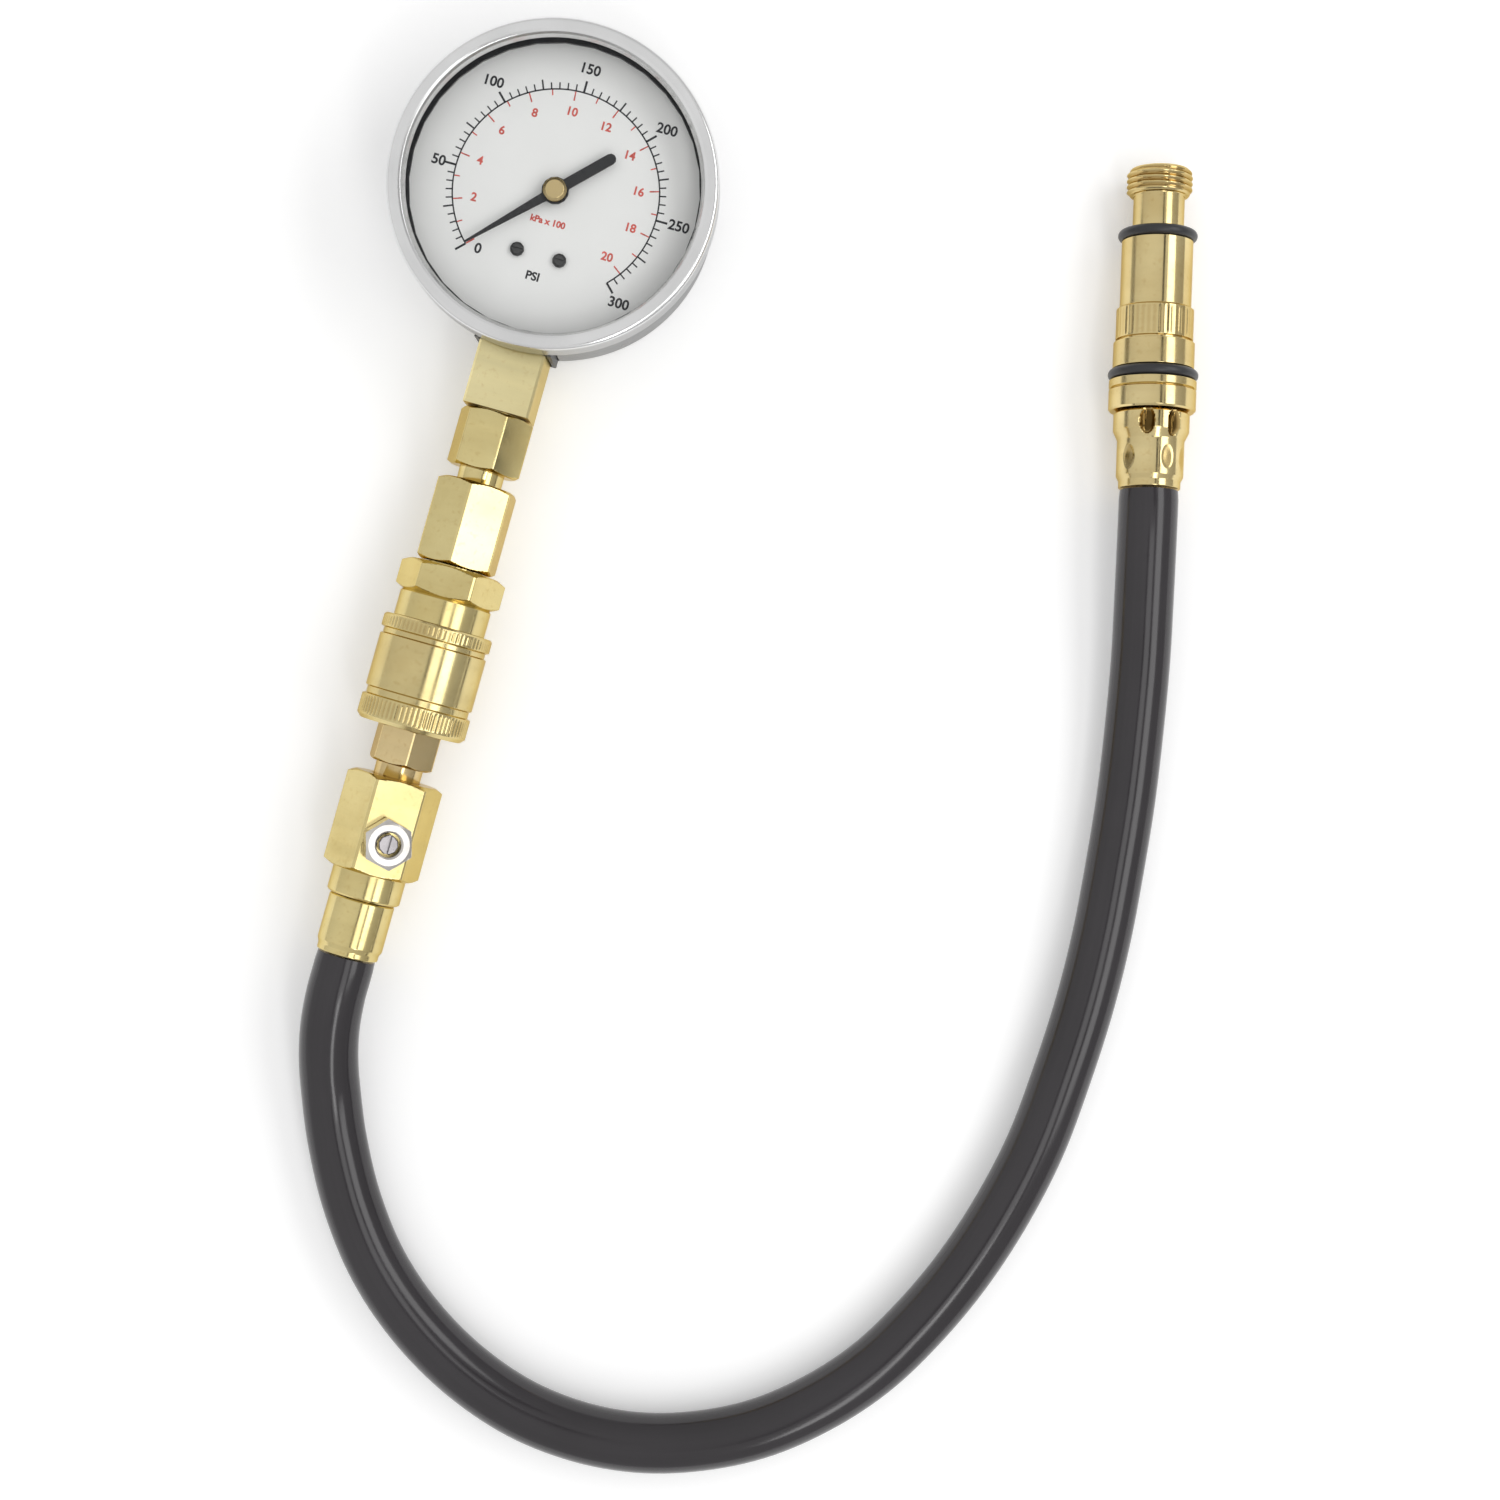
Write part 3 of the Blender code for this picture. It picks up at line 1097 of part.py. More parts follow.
def make_coupler(frame):
    thread_start = COUPLER_START - COUPLER_THREAD_LENGTH
    chamfer = EDGE_CHAMFER
    bore_floor = COUPLER_END - PLUG_NIPPLE_LENGTH - 2 * GAP
    groove = SEAL_SECTION + GAP
    groove_floor = PLUG_NIPPLE_RADIUS + 2 * SEAL_SECTION + 2 * SEAL_SQUEEZE
    ring_low = RING_AT - GAP
    ring_high = RING_AT + RING_WIDTH + GAP
    outline = [(FLOW_BORE, thread_start), (COUPLER_THREAD_RADIUS, thread_start)]
    outline += [(COUPLER_THREAD_RADIUS, COUPLER_START)]
    outline += hex_blank(COUPLER_ACROSS, COUPLER_START, COUPLER_HEX_END, COUPLER_CHAMFER)
    outline += [(COUPLER_NECK_RADIUS - chamfer, COUPLER_HEX_END)]
    outline += [(COUPLER_NECK_RADIUS, COUPLER_HEX_END + chamfer)]
    outline += [(COUPLER_NECK_RADIUS, COUPLER_SHOULDER), (COUPLER_TUBE_RADIUS, COUPLER_SHOULDER)]
    outline += [(COUPLER_TUBE_RADIUS, ring_low), (RING_SEAT, ring_low)]
    outline += [(RING_SEAT, ring_high), (COUPLER_TUBE_RADIUS, ring_high)]
    outline += [(COUPLER_TUBE_RADIUS, COUPLER_END), (COUPLER_BORE + chamfer, COUPLER_END)]
    outline += [(COUPLER_BORE, COUPLER_END - chamfer)]
    outline += [(COUPLER_BORE, SEAL_AT + groove), (groove_floor, SEAL_AT + groove)]
    outline += [(groove_floor, SEAL_AT - groove), (COUPLER_BORE, SEAL_AT - groove)]
    outline += [(COUPLER_BORE, bore_floor), (FLOW_BORE, bore_floor)]
    coupler = turned("coupler_body", outline, brass(), frame)
    hex_cut(coupler, COUPLER_ACROSS, COUPLER_START, COUPLER_HEX_END, COUPLER_TURN, frame)
    for number in range(BALL_COUNT):
        angle = 2 * math.pi * number / BALL_COUNT + math.pi / 4
        reach = COUPLER_TUBE_RADIUS + THROUGH
        hole = rod(f"ball_hole_{number + 1}", BALL_RADIUS + GAP, PLUG_GROOVE_RADIUS, reach, frame)
        hole.rotation_euler = Euler((0, math.pi / 2, angle))
        hole.location = (0, 0, BALL_AT)
        cut(coupler, hole)
        make_ball(f"lock_ball_{number + 1}", angle, frame)
    seal_inner = PLUG_NIPPLE_RADIUS + SEAL_SQUEEZE
    seal_outer = seal_inner + 2 * SEAL_SECTION
    steps, sides = SEAL_STEPS_AROUND, SEAL_SECTION_SIDES
    ring_seal("coupler_seal", seal_outer, SEAL_SECTION, SEAL_AT, rubber(), frame, steps, sides)
    outline = [
        (RING_SEAT + GAP, RING_AT),
        (RING_OUTER, RING_AT),
        (RING_OUTER, RING_AT + RING_WIDTH),
        (RING_SEAT + GAP, RING_AT + RING_WIDTH),
    ]
    ring = turned("sleeve_retaining_ring", outline, steel(), frame)
    split = RING_WIDTH / 2
    low = (0, -split, RING_AT - THROUGH)
    high = (RING_OUTER + THROUGH, split, RING_AT + RING_WIDTH + THROUGH)
    cut(ring, block("ring_split", low, high, None, frame))


def make_ball(name, angle, frame):
    made = bmesh.new()
    bmesh.ops.create_uvsphere(made, u_segments=8, v_segments=5, radius=BALL_RADIUS)
    ball = solid(name, made, steel(), frame)
    reach = PLUG_GROOVE_RADIUS + GAP + BALL_RADIUS
    ball.location = (reach * math.cos(angle), reach * math.sin(angle), BALL_AT)


def make_sleeve(frame):
    """The grooved sleeve that is drawn towards the gauge to free the balls."""
    axis = empty("sleeve_axis", (0, 0, SLEEVE_START), parent=frame)
    full = SLEEVE_RADIUS
    band = full - SLEEVE_BAND_INSET
    groove = full - SLEEVE_GROOVE
    upper, upper_end = SLEEVE_UPPER_GROOVE_AT, SLEEVE_UPPER_GROOVE_AT + SLEEVE_UPPER_GROOVE_WIDTH
    lower, lower_end = SLEEVE_LOWER_GROOVE_AT, SLEEVE_LOWER_GROOVE_AT + SLEEVE_LOWER_GROOVE_WIDTH
    slope = SLEEVE_GROOVE_SLOPE
    end = SLEEVE_LENGTH
    rear_bore = COUPLER_NECK_RADIUS + SLEEVE_REAR_CLEARANCE
    land_bore = COUPLER_TUBE_RADIUS + GAP
    land_low, land_high = LAND_START - SLEEVE_START, LAND_END - SLEEVE_START
    edge, bevel = EDGE_CHAMFER, SLEEVE_END_CHAMFER
    outline = [(rear_bore, 0), (full - edge, 0), (full, edge), (full, upper)]
    outline += [(groove, upper + slope), (groove, upper_end), (band, upper_end + slope)]
    outline += [(band, lower), (groove, lower + slope), (groove, lower_end), (full, lower_end + slope)]
    outline += [(full, end - bevel), (full - bevel, end), (SLEEVE_FRONT_BORE, end)]
    outline += [(SLEEVE_FRONT_BORE, land_high), (land_bore, land_high)]
    outline += [(land_bore, land_low), (rear_bore, land_low)]
    turned("coupler_sleeve", outline, brass(), axis)
    spring_radius = (COUPLER_TUBE_RADIUS + rear_bore) / 2
    low = COUPLER_SHOULDER + GAP
    high = LAND_START - GAP
    coil("sleeve_spring", spring_radius, SPRING_WIRE, low, high, SPRING_TURNS, steel(), frame)


def make_plug(swivel):
    """The nipple that the coupler grips, its hexagon and its thread into the valve body."""
    nipple = PLUG_NIPPLE_RADIUS
    tip = PLUG_START - PLUG_NIPPLE_LENGTH
    groove_half = BALL_RADIUS + GAP
    floor = PLUG_GROOVE_RADIUS
    slope = THREAD_CHAMFER
    thread = PLUG_THREAD_RADIUS
    thread_end = PLUG_HEX_END + PLUG_THREAD_LENGTH
    outline = [(FLOW_BORE, tip), (nipple - slope, tip), (nipple, tip + slope)]
    outline += [(nipple, BALL_AT - groove_half - slope), (floor, BALL_AT - groove_half)]
    outline += [(floor, BALL_AT + groove_half), (nipple, BALL_AT + groove_half + slope)]
    outline += [(nipple, PLUG_START)]
    outline += hex_blank(PLUG_ACROSS, PLUG_START, PLUG_HEX_END, PLUG_CHAMFER)
    outline += [(thread, PLUG_HEX_END), (thread, thread_end - slope), (thread - slope, thread_end)]
    outline += [(FLOW_BORE, thread_end)]
    plug = turned("coupler_plug", outline, brass(), swivel)
    hex_cut(plug, PLUG_ACROSS, PLUG_START, PLUG_HEX_END, PLUG_TURN, swivel)


def make_valve_body(swivel):
    """The large hexagon with the side port, a turned collar and the barb inside the near ferrule."""
    bore = PLUG_THREAD_RADIUS + GAP
    bore_floor = PLUG_HEX_END + PLUG_THREAD_LENGTH + GAP
    barb_end = NEAR_FERRULE_END - GAP
    chamfer = EDGE_CHAMFER
    outline = hex_blank(VALVE_ACROSS, VALVE_START, VALVE_HEX_END, chamfer)
    outline += [(VALVE_COLLAR_RADIUS, VALVE_HEX_END), (VALVE_COLLAR_RADIUS, VALVE_END - chamfer)]
    outline += [(VALVE_COLLAR_RADIUS - chamfer, VALVE_END)]
    outline += [(BARB_RADIUS, VALVE_END), (BARB_RADIUS, barb_end)]
    outline += [(FLOW_BORE, barb_end), (FLOW_BORE, bore_floor), (bore, bore_floor), (bore, VALVE_START)]
    valve = turned("valve_body", outline, brass(), swivel)
    hex_cut(valve, VALVE_ACROSS, VALVE_START - THROUGH, VALVE_HEX_END, VALVE_TURN, swivel)
    axis = empty("release_frame", (0, 0, RELEASE_AT), (-math.pi / 2, 0, -math.radians(VALVE_TURN)), swivel)
    port_floor = RELEASE_FACET + GAP - RELEASE_SPIGOT_LENGTH - GAP
    port = [
        (0, 0),
        (BUTTON_STEM + 2 * GAP, 0),
        (BUTTON_STEM + 2 * GAP, port_floor),
        (RELEASE_SPIGOT + GAP, port_floor),
        (RELEASE_SPIGOT + GAP, RELEASE_FACET + THROUGH),
        (0, RELEASE_FACET + THROUGH),
    ]
    cut(valve, turned("release_port", port, None, axis, SMALL_SIDES))
    return axis


def make_release_valve(axis):
    seat = RELEASE_FACET + GAP
    foot = seat - RELEASE_SPIGOT_LENGTH
    top = RELEASE_FACET + RELEASE_PROUD
    floor = foot + RELEASE_FLOOR
    chamfer = EDGE_CHAMFER
    outline = [(RELEASE_HOLE, foot), (RELEASE_SPIGOT, foot), (RELEASE_SPIGOT, seat)]
    outline += hex_blank(RELEASE_ACROSS, seat, top, RELEASE_CHAMFER)
    outline += [(RELEASE_RECESS + chamfer, top), (RELEASE_RECESS, top - chamfer)]
    outline += [(RELEASE_RECESS, floor), (RELEASE_HOLE, floor)]
    nickel = material("nickel plate", (0.7, 0.69, 0.66), 0.22, 1.0)
    body = turned("release_valve_body", outline, nickel, axis, STACK_SIDES - 6)
    hex_cut(body, RELEASE_ACROSS, seat, top + THROUGH, 0.0, axis)

    button_axis = empty("release_button_axis", (0, 0, top - BUTTON_SUNK), parent=axis)
    stem_foot = foot + GAP - (top - BUTTON_SUNK)
    outline = [
        (0, stem_foot),
        (BUTTON_STEM, stem_foot),
        (BUTTON_STEM, -BUTTON_HEAD_HEIGHT),
        (BUTTON_HEAD, -BUTTON_HEAD_HEIGHT),
        (BUTTON_HEAD, -chamfer / 2),
        (BUTTON_HEAD - chamfer / 2, 0),
        (0, 0),
    ]
    button = turned("release_button", outline, nickel, button_axis, SMALL_SIDES)
    half = BUTTON_SLOT / 2
    reach = BUTTON_HEAD + THROUGH
    low = (-half, -reach, -0.4 * BUTTON_HEAD_HEIGHT)
    cut(button, block("button_slot", low, (half, reach, THROUGH), None, button_axis))

    head_low = top - BUTTON_SUNK - BUTTON_HEAD_HEIGHT
    seal_z = floor + GAP + RELEASE_SEAL_SECTION
    seal_outer = RELEASE_RECESS - GAP
    ring_seal("release_seal", seal_outer, RELEASE_SEAL_SECTION, seal_z, rubber(), axis, 12, 5)
    radius = (BUTTON_STEM + RELEASE_RECESS) / 2
    spring_low = seal_z + RELEASE_SEAL_SECTION + GAP
    spring_high = head_low - GAP
    turns = BUTTON_SPRING_TURNS
    coil("release_spring", radius, BUTTON_SPRING_WIRE, spring_low, spring_high, turns, steel(), axis, 6)


def make_near_ferrule(swivel):
    low, high = NEAR_FERRULE_START, NEAR_FERRULE_END
    waist = low + NEAR_FERRULE_CRIMP
    bore = BARB_RADIUS + GAP
    outline = [(bore, low), (FERRULE_TOP_RADIUS - GAP, low), (FERRULE_TOP_RADIUS, low + GAP)]
    outline += [(FERRULE_TOP_RADIUS, waist), (FERRULE_MOUTH_RADIUS, waist + FERRULE_SLOPE)]
    outline += [(FERRULE_MOUTH_RADIUS, high), (bore, high)]
    turned("near_ferrule", outline, brass(), swivel)


def smooth_route(route, step):
    """Points a step apart on a smooth curve through the route's own points."""
    knots = np.array(route)
    chords = np.linalg.norm(np.diff(knots, axis=0), axis=1)
    along = np.concatenate([[0.0], np.cumsum(chords)])
    before = knots[0] + (knots[0] - knots[1])
    after = knots[-1] + (knots[-1] - knots[-2])
    padded = np.vstack([before, knots, after])
    spots = np.concatenate([[-chords[0]], along, [along[-1] + chords[-1]]])
    slopes = (padded[2:] - padded[:-2]) / (spots[2:] - spots[:-2])[:, None]
    count = int(round(along[-1] / step)) + 1
    wanted = np.linspace(0.0, along[-1], count)
    left = np.clip(np.searchsorted(along, wanted, side="right") - 1, 0, len(chords) - 1)
    span = (along[left + 1] - along[left])[:, None]
    share = ((wanted - along[left]) / span[:, 0])[:, None]
    first = (1 + 2 * share) * (1 - share) ** 2 * knots[left]
    second = share * (1 - share) ** 2 * span * slopes[left]
    third = share**2 * (3 - 2 * share) * knots[left + 1]
    fourth = share**2 * (share - 1) * span * slopes[left + 1]
    return first + second + third + fourth


def make_hose(swivel):
    """The hose lies in one long bend on the table, from the near ferrule to the far one."""
    points = smooth_route(HOSE_ROUTE, HOSE_STEP)
    hose = wire("hose", [tuple(p) for p in points], HOSE_RADIUS, rubber(), resolution=2)
    turn = swivel.matrix_basis
    frame = bpy.data.objects["stack_axis"].matrix_basis
    hose.parent = swivel
    hose.matrix_parent_inverse = (frame @ turn).inverted()


def far_frame(swivel):
    """The port fitting's own axis: it lies on its two rubber rings."""
    lower = far_stations()["lower_seal"]
    seal = far_stations()["upper_seal"]
    tilt = math.asin((UPPER_SEAL_RADIUS - LOWER_SEAL_RADIUS) / (lower - seal))
    heading = math.radians(FAR_HEADING_DEG)
    start_z = UPPER_SEAL_RADIUS + HOSE_REST + seal * math.sin(tilt)
    place = Vector((FAR_START_X, FAR_START_Y, start_z))
    side = Vector((math.sin(heading), -math.cos(heading), 0))
    level = Vector((math.cos(heading), math.sin(heading), 0))
    along = level * math.cos(tilt) - Vector((0, 0, math.sin(tilt)))
    up = along.cross(side)
    turn = Matrix((side, -up, along)).transposed()
    made = empty("far_axis", (0, 0, 0), parent=swivel)
    frame = bpy.data.objects["stack_axis"].matrix_basis
    made.matrix_parent_inverse = (frame @ swivel.matrix_basis).inverted()
    made.matrix_basis = Matrix.Translation(place) @ turn.to_4x4()
    return made


def far_stations():
    """Distances along the port fitting from the far ferrule's mouth."""
    collar = FAR_FERRULE_LENGTH + GAP
    seal_low = collar + COLLAR_LENGTH
    upper_seal = seal_low + UPPER_SEAL_SECTION + GAP / 2
    ring = upper_seal + UPPER_SEAL_SECTION + GAP / 2
    relief = ring + RING_LAND_LENGTH
    wide = relief + RELIEF_WIDTH
    barrel = wide + WIDE_LENGTH
    lower_low = barrel + BARREL_LENGTH
    lower_seal = lower_low + LOWER_SEAL_SECTION + GAP / 2
    neck = lower_seal + LOWER_SEAL_SECTION + GAP / 2
    head = neck + NECK_LENGTH
    end = head + HEAD_LENGTH
    return {
        "collar": collar,
        "seal_low": seal_low,
        "upper_seal": upper_seal,
        "ring": ring,
        "relief": relief,
        "wide": wide,
        "barrel": barrel,
        "lower_low": lower_low,
        "lower_seal": lower_seal,
        "neck": neck,
        "head": head,
        "end": end,
    }


def make_far_ferrule(axis):
    """A crimped ferrule: narrow at the hose, wide at its skirt, with two deep dents in its lower side."""
    bore = BARB_RADIUS + GAP
    low, high = 0.0, FAR_FERRULE_LENGTH
    skirt = high - FAR_FERRULE_SKIRT_LENGTH
    edge, slope = EDGE_CHAMFER, FERRULE_SLOPE
    mouth = low + FAR_FERRULE_MOUTH_LENGTH
    outline = [(bore, low), (FERRULE_MOUTH_RADIUS, low), (FERRULE_MOUTH_RADIUS, mouth)]
    outline += [(FAR_FERRULE_WAIST, mouth + slope), (FAR_FERRULE_WAIST, skirt)]
    outline += [(FAR_FERRULE_SKIRT, skirt + 2 * slope), (FAR_FERRULE_SKIRT, high - edge)]
    outline += [(FAR_FERRULE_SKIRT - edge, high), (bore, high)]
    ferrule = turned("far_ferrule", outline, brass(), axis)
    for number, (turn, back) in enumerate(zip(DENT_TURNS_DEG, DENT_STEPS)):
        angle = math.radians(turn)
        reach = FAR_FERRULE_WAIST - DENT_DEPTH + DENT_RADIUS
        made = bmesh.new()
        bmesh.ops.create_uvsphere(made, u_segments=10, v_segments=6, radius=DENT_RADIUS)
        bmesh.ops.scale(made, vec=(1, 1, DENT_STRETCH), verts=made.verts)
        dent = solid(f"ferrule_dent_{number + 1}", made, None, axis)
        dent.location = (reach * math.sin(angle), -reach * math.cos(angle), high - back)
        cut(ferrule, dent)


def make_end_fitting(axis):
    """One turned brass piece from the hose barb to the threaded head."""
    at = far_stations()
    seal_floor = UPPER_SEAL_RADIUS - 2 * UPPER_SEAL_SECTION - GAP
    lower_floor = LOWER_SEAL_RADIUS - 2 * LOWER_SEAL_SECTION - GAP
    chamfer = EDGE_CHAMFER
    end = at["end"]
    core_floor = end - CORE_BORE_DEPTH
    outline = [(FLOW_BORE, GAP), (BARB_RADIUS, GAP), (BARB_RADIUS, at["collar"])]
    outline += [(COLLAR_RADIUS - chamfer, at["collar"]), (COLLAR_RADIUS, at["collar"] + chamfer)]
    rim = at["seal_low"] - COLLAR_RIM
    line = COLLAR_LINE_WIDTH
    outline += [(COLLAR_RADIUS, rim - line), (COLLAR_RADIUS - COLLAR_LINE_DEPTH, rim - line / 2)]
    outline += [(COLLAR_RADIUS, rim)]
    outline += [(COLLAR_RADIUS, at["seal_low"]), (seal_floor, at["seal_low"]), (seal_floor, at["ring"])]
    outline += [(RING_LAND_RADIUS, at["ring"]), (RING_LAND_RADIUS, at["relief"])]
    outline += [(RELIEF_RADIUS, at["relief"]), (RELIEF_RADIUS, at["wide"]), (WIDE_RADIUS, at["wide"])]
    outline += [(WIDE_RADIUS, at["barrel"] - chamfer), (BARREL_RADIUS, at["barrel"])]
    outline += [(BARREL_RADIUS, at["lower_low"]), (lower_floor, at["lower_low"]), (lower_floor, at["neck"])]
    outline += [(NECK_RADIUS, at["neck"]), (NECK_RADIUS, at["head"])]
    outline += [(HEAD_RADIUS - HEAD_CHAMFER, at["head"])]
    outline += [(HEAD_RADIUS, at["head"] + HEAD_CHAMFER), (HEAD_RADIUS, end - HEAD_CHAMFER)]
    outline += [(HEAD_RADIUS - HEAD_CHAMFER, end), (CORE_BORE, end), (CORE_BORE, core_floor)]
    outline += [(FLOW_BORE, core_floor)]
    turned("port_fitting", outline, brass(), axis)
    upper, lower = at["upper_seal"], at["lower_seal"]
    ring_seal("upper_seal_ring", UPPER_SEAL_RADIUS, UPPER_SEAL_SECTION, upper, rubber(), axis)
    ring_seal("lower_seal_ring", LOWER_SEAL_RADIUS, LOWER_SEAL_SECTION, lower, rubber(), axis)


def make_valve_core(axis):
    """A spring-loaded check valve in the head, opened by its pin."""
    end = far_stations()["end"]
    outer = CORE_BORE - GAP
    bore = CORE_PIN + GAP
    top = end - CORE_SUNK
    low = top - CORE_BODY_LENGTH
    outline = [(bore, low), (outer, low), (outer, top - GAP), (outer - GAP, top), (bore, top)]
    turned("valve_core_body", outline, brass(), axis, SMALL_SIDES)
    head_top = low - GAP
    pin_axis = empty("core_pin_axis", (0, 0, head_top), parent=axis)
    pin_top = top - GAP - head_top
    outline = [
        (0, -CORE_PIN_HEAD_LENGTH),
        (CORE_PIN_HEAD, -CORE_PIN_HEAD_LENGTH),
        (CORE_PIN_HEAD, 0),
        (CORE_PIN, 0),
        (CORE_PIN, pin_top),
        (0, pin_top),
    ]
    turned("core_pin", outline, steel(), pin_axis, SMALL_SIDES - 2)
    radius = CORE_PIN_HEAD - 2 * CORE_SPRING_WIRE
    spring_low = end - CORE_BORE_DEPTH + GAP
    spring_high = head_top - CORE_PIN_HEAD_LENGTH - GAP
    turns = CORE_SPRING_TURNS
    coil("core_spring", radius, CORE_SPRING_WIRE, spring_low, spring_high, turns, steel(), axis, 6)


def main():
    for old in list(bpy.data.objects):
        bpy.data.objects.remove(old)
    stack = empty("stack_axis", (0, 0, STEM_Z), (math.pi / 2, 0, 0))
    swivel = empty("hose_swivel_axis", (0, 0, 0), parent=stack)
    pointer_axis = empty("pointer_axis", (0, 0, 0))
    sector_axis = empty("sector_axis", (0, SECTOR_Y, 0))
    make_case()
    make_case_screws()
    make_bezel()
    make_lens()
    make_dial()
    make_pointer(pointer_axis)
    make_pinion(pointer_axis)
    make_hairspring(pointer_axis)
    tail_x, tail_y = make_sector(sector_axis)
    make_link(tail_x, tail_y, sector_axis)
    make_plates()
    make_pillars()
    make_pressure_tube()
    make_tube_tip()
    make_socket()
    make_grommet()
    make_adapters(stack)
    make_coupler(stack)
    make_sleeve(stack)
    make_plug(swivel)
    make_release_valve(make_valve_body(swivel))
    make_near_ferrule(swivel)
    make_hose(swivel)
    far_axis = far_frame(swivel)
    make_far_ferrule(far_axis)
    make_end_fitting(far_axis)
    make_valve_core(far_axis)


main()
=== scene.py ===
"""The looks of the compression tester gauge: finishes, hose, threads, printed dial, camera and light.

Lengths are in millimetres unless a name or a comment says metres, and MM turns them into metres.
The row frame has its origin at the centre of the case back, +Z out of the dial, +Y to twelve o'clock.
A station is a distance down the brass stack from the gauge's centre.
"""

import json
import math

import bmesh
import bpy
import numpy as np
from mathutils import Matrix, Vector


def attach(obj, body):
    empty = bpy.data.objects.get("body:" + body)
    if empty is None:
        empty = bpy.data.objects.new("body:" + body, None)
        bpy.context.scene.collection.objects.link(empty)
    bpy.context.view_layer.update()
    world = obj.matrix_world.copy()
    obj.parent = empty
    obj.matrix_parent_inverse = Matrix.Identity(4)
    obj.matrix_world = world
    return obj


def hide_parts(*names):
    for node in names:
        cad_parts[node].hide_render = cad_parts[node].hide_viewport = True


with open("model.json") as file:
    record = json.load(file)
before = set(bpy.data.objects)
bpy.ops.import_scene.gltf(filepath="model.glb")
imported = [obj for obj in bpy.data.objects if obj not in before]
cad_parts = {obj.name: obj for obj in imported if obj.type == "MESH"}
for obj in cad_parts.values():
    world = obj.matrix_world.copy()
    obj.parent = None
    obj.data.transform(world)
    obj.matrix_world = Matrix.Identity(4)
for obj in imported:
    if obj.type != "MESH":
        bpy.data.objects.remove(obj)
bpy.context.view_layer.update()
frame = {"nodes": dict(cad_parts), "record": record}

MM = 0.001

# The camera looks straight down. The photograph's up is turned a little from twelve o'clock.
CAMERA_PLACE = (70.9, -101.8, 544.5)
CAMERA_TURN_DEG = 15.66
CAMERA_LENS = 60.0

# The stack's axis is this far above the table
STEM_Z = 12.1

# The port fitting's own axis, from the far ferrule's mouth
UPPER_SEAL = (24.4, 9.6, 1.15)  # station, outer radius, half its section
LOWER_SEAL = (54.45, 8.45, 1.1)
FAR_START = (137.9, -25.2)
FAR_HEADING_DEG = 103.3
REST = 0.1  # the rubber rings lie this far above the table

# The hose's middle line, the same points as in the source, in metres
HOSE_RADIUS = 6.33
HOSE_ROUTE = (
    (0.0000, -0.1672, 0.0121),
    (0.0000, -0.1715, 0.0121),
    (0.0000, -0.1758, 0.0120),
    (0.0005, -0.1825, 0.0111),
    (0.0017, -0.1890, 0.0096),
    (0.0038, -0.1960, 0.0078),
    (0.0082, -0.2069, 0.00650),
    (0.0148, -0.2187, 0.00645),
    (0.0236, -0.2300, 0.00645),
    (0.0344, -0.2393, 0.00645),
    (0.0472, -0.2467, 0.00645),
    (0.0612, -0.2515, 0.00645),
    (0.0752, -0.2530, 0.00645),
    (0.0883, -0.2517, 0.00645),
    (0.1007, -0.2478, 0.00645),
    (0.1125, -0.2416, 0.00645),
    (0.1232, -0.2328, 0.00645),
    (0.1321, -0.2225, 0.00645),
    (0.1394, -0.2101, 0.00645),
    (0.1452, -0.1971, 0.00645),
    (0.1498, -0.1826, 0.00645),
    (0.1530, -0.1672, 0.00645),
    (0.1544, -0.1511, 0.00645),
    (0.1550, -0.1355, 0.00645),
    (0.1546, -0.1202, 0.00645),
    (0.1533, -0.1051, 0.00645),
    (0.1516, -0.0901, 0.00650),
    (0.1492, -0.0753, 0.00710),
    (0.1464, -0.0610, 0.00840),
    (0.1433, -0.0480, 0.00990),
    (0.1402, -0.0350, 0.01075),
    (0.13869, -0.02856, 0.01076),
    (0.13800, -0.02564, 0.01065),
)

SIDES = 144
HOSE_SIDES = 64
GLASS_INDEX = 1.36
CORNER_WEAR = 0.985  # a hexagon's corners are turned to this share of their sharp radius


# Finishes
BRASS_EDGE_TINT = (0.78, 0.66, 0.42, 1.0)
# Painted shade in recesses: how a recess darkens brass, its depth in millimetres, and what the colour is
# multiplied by there
RECESS_SHADE = (
    (0.0, (1.0, 1.0, 1.0)),
    (0.12, (0.85, 0.8, 0.72)),
    (0.45, (0.66, 0.56, 0.42)),
    (0.9, (0.16, 0.12, 0.07)),
)


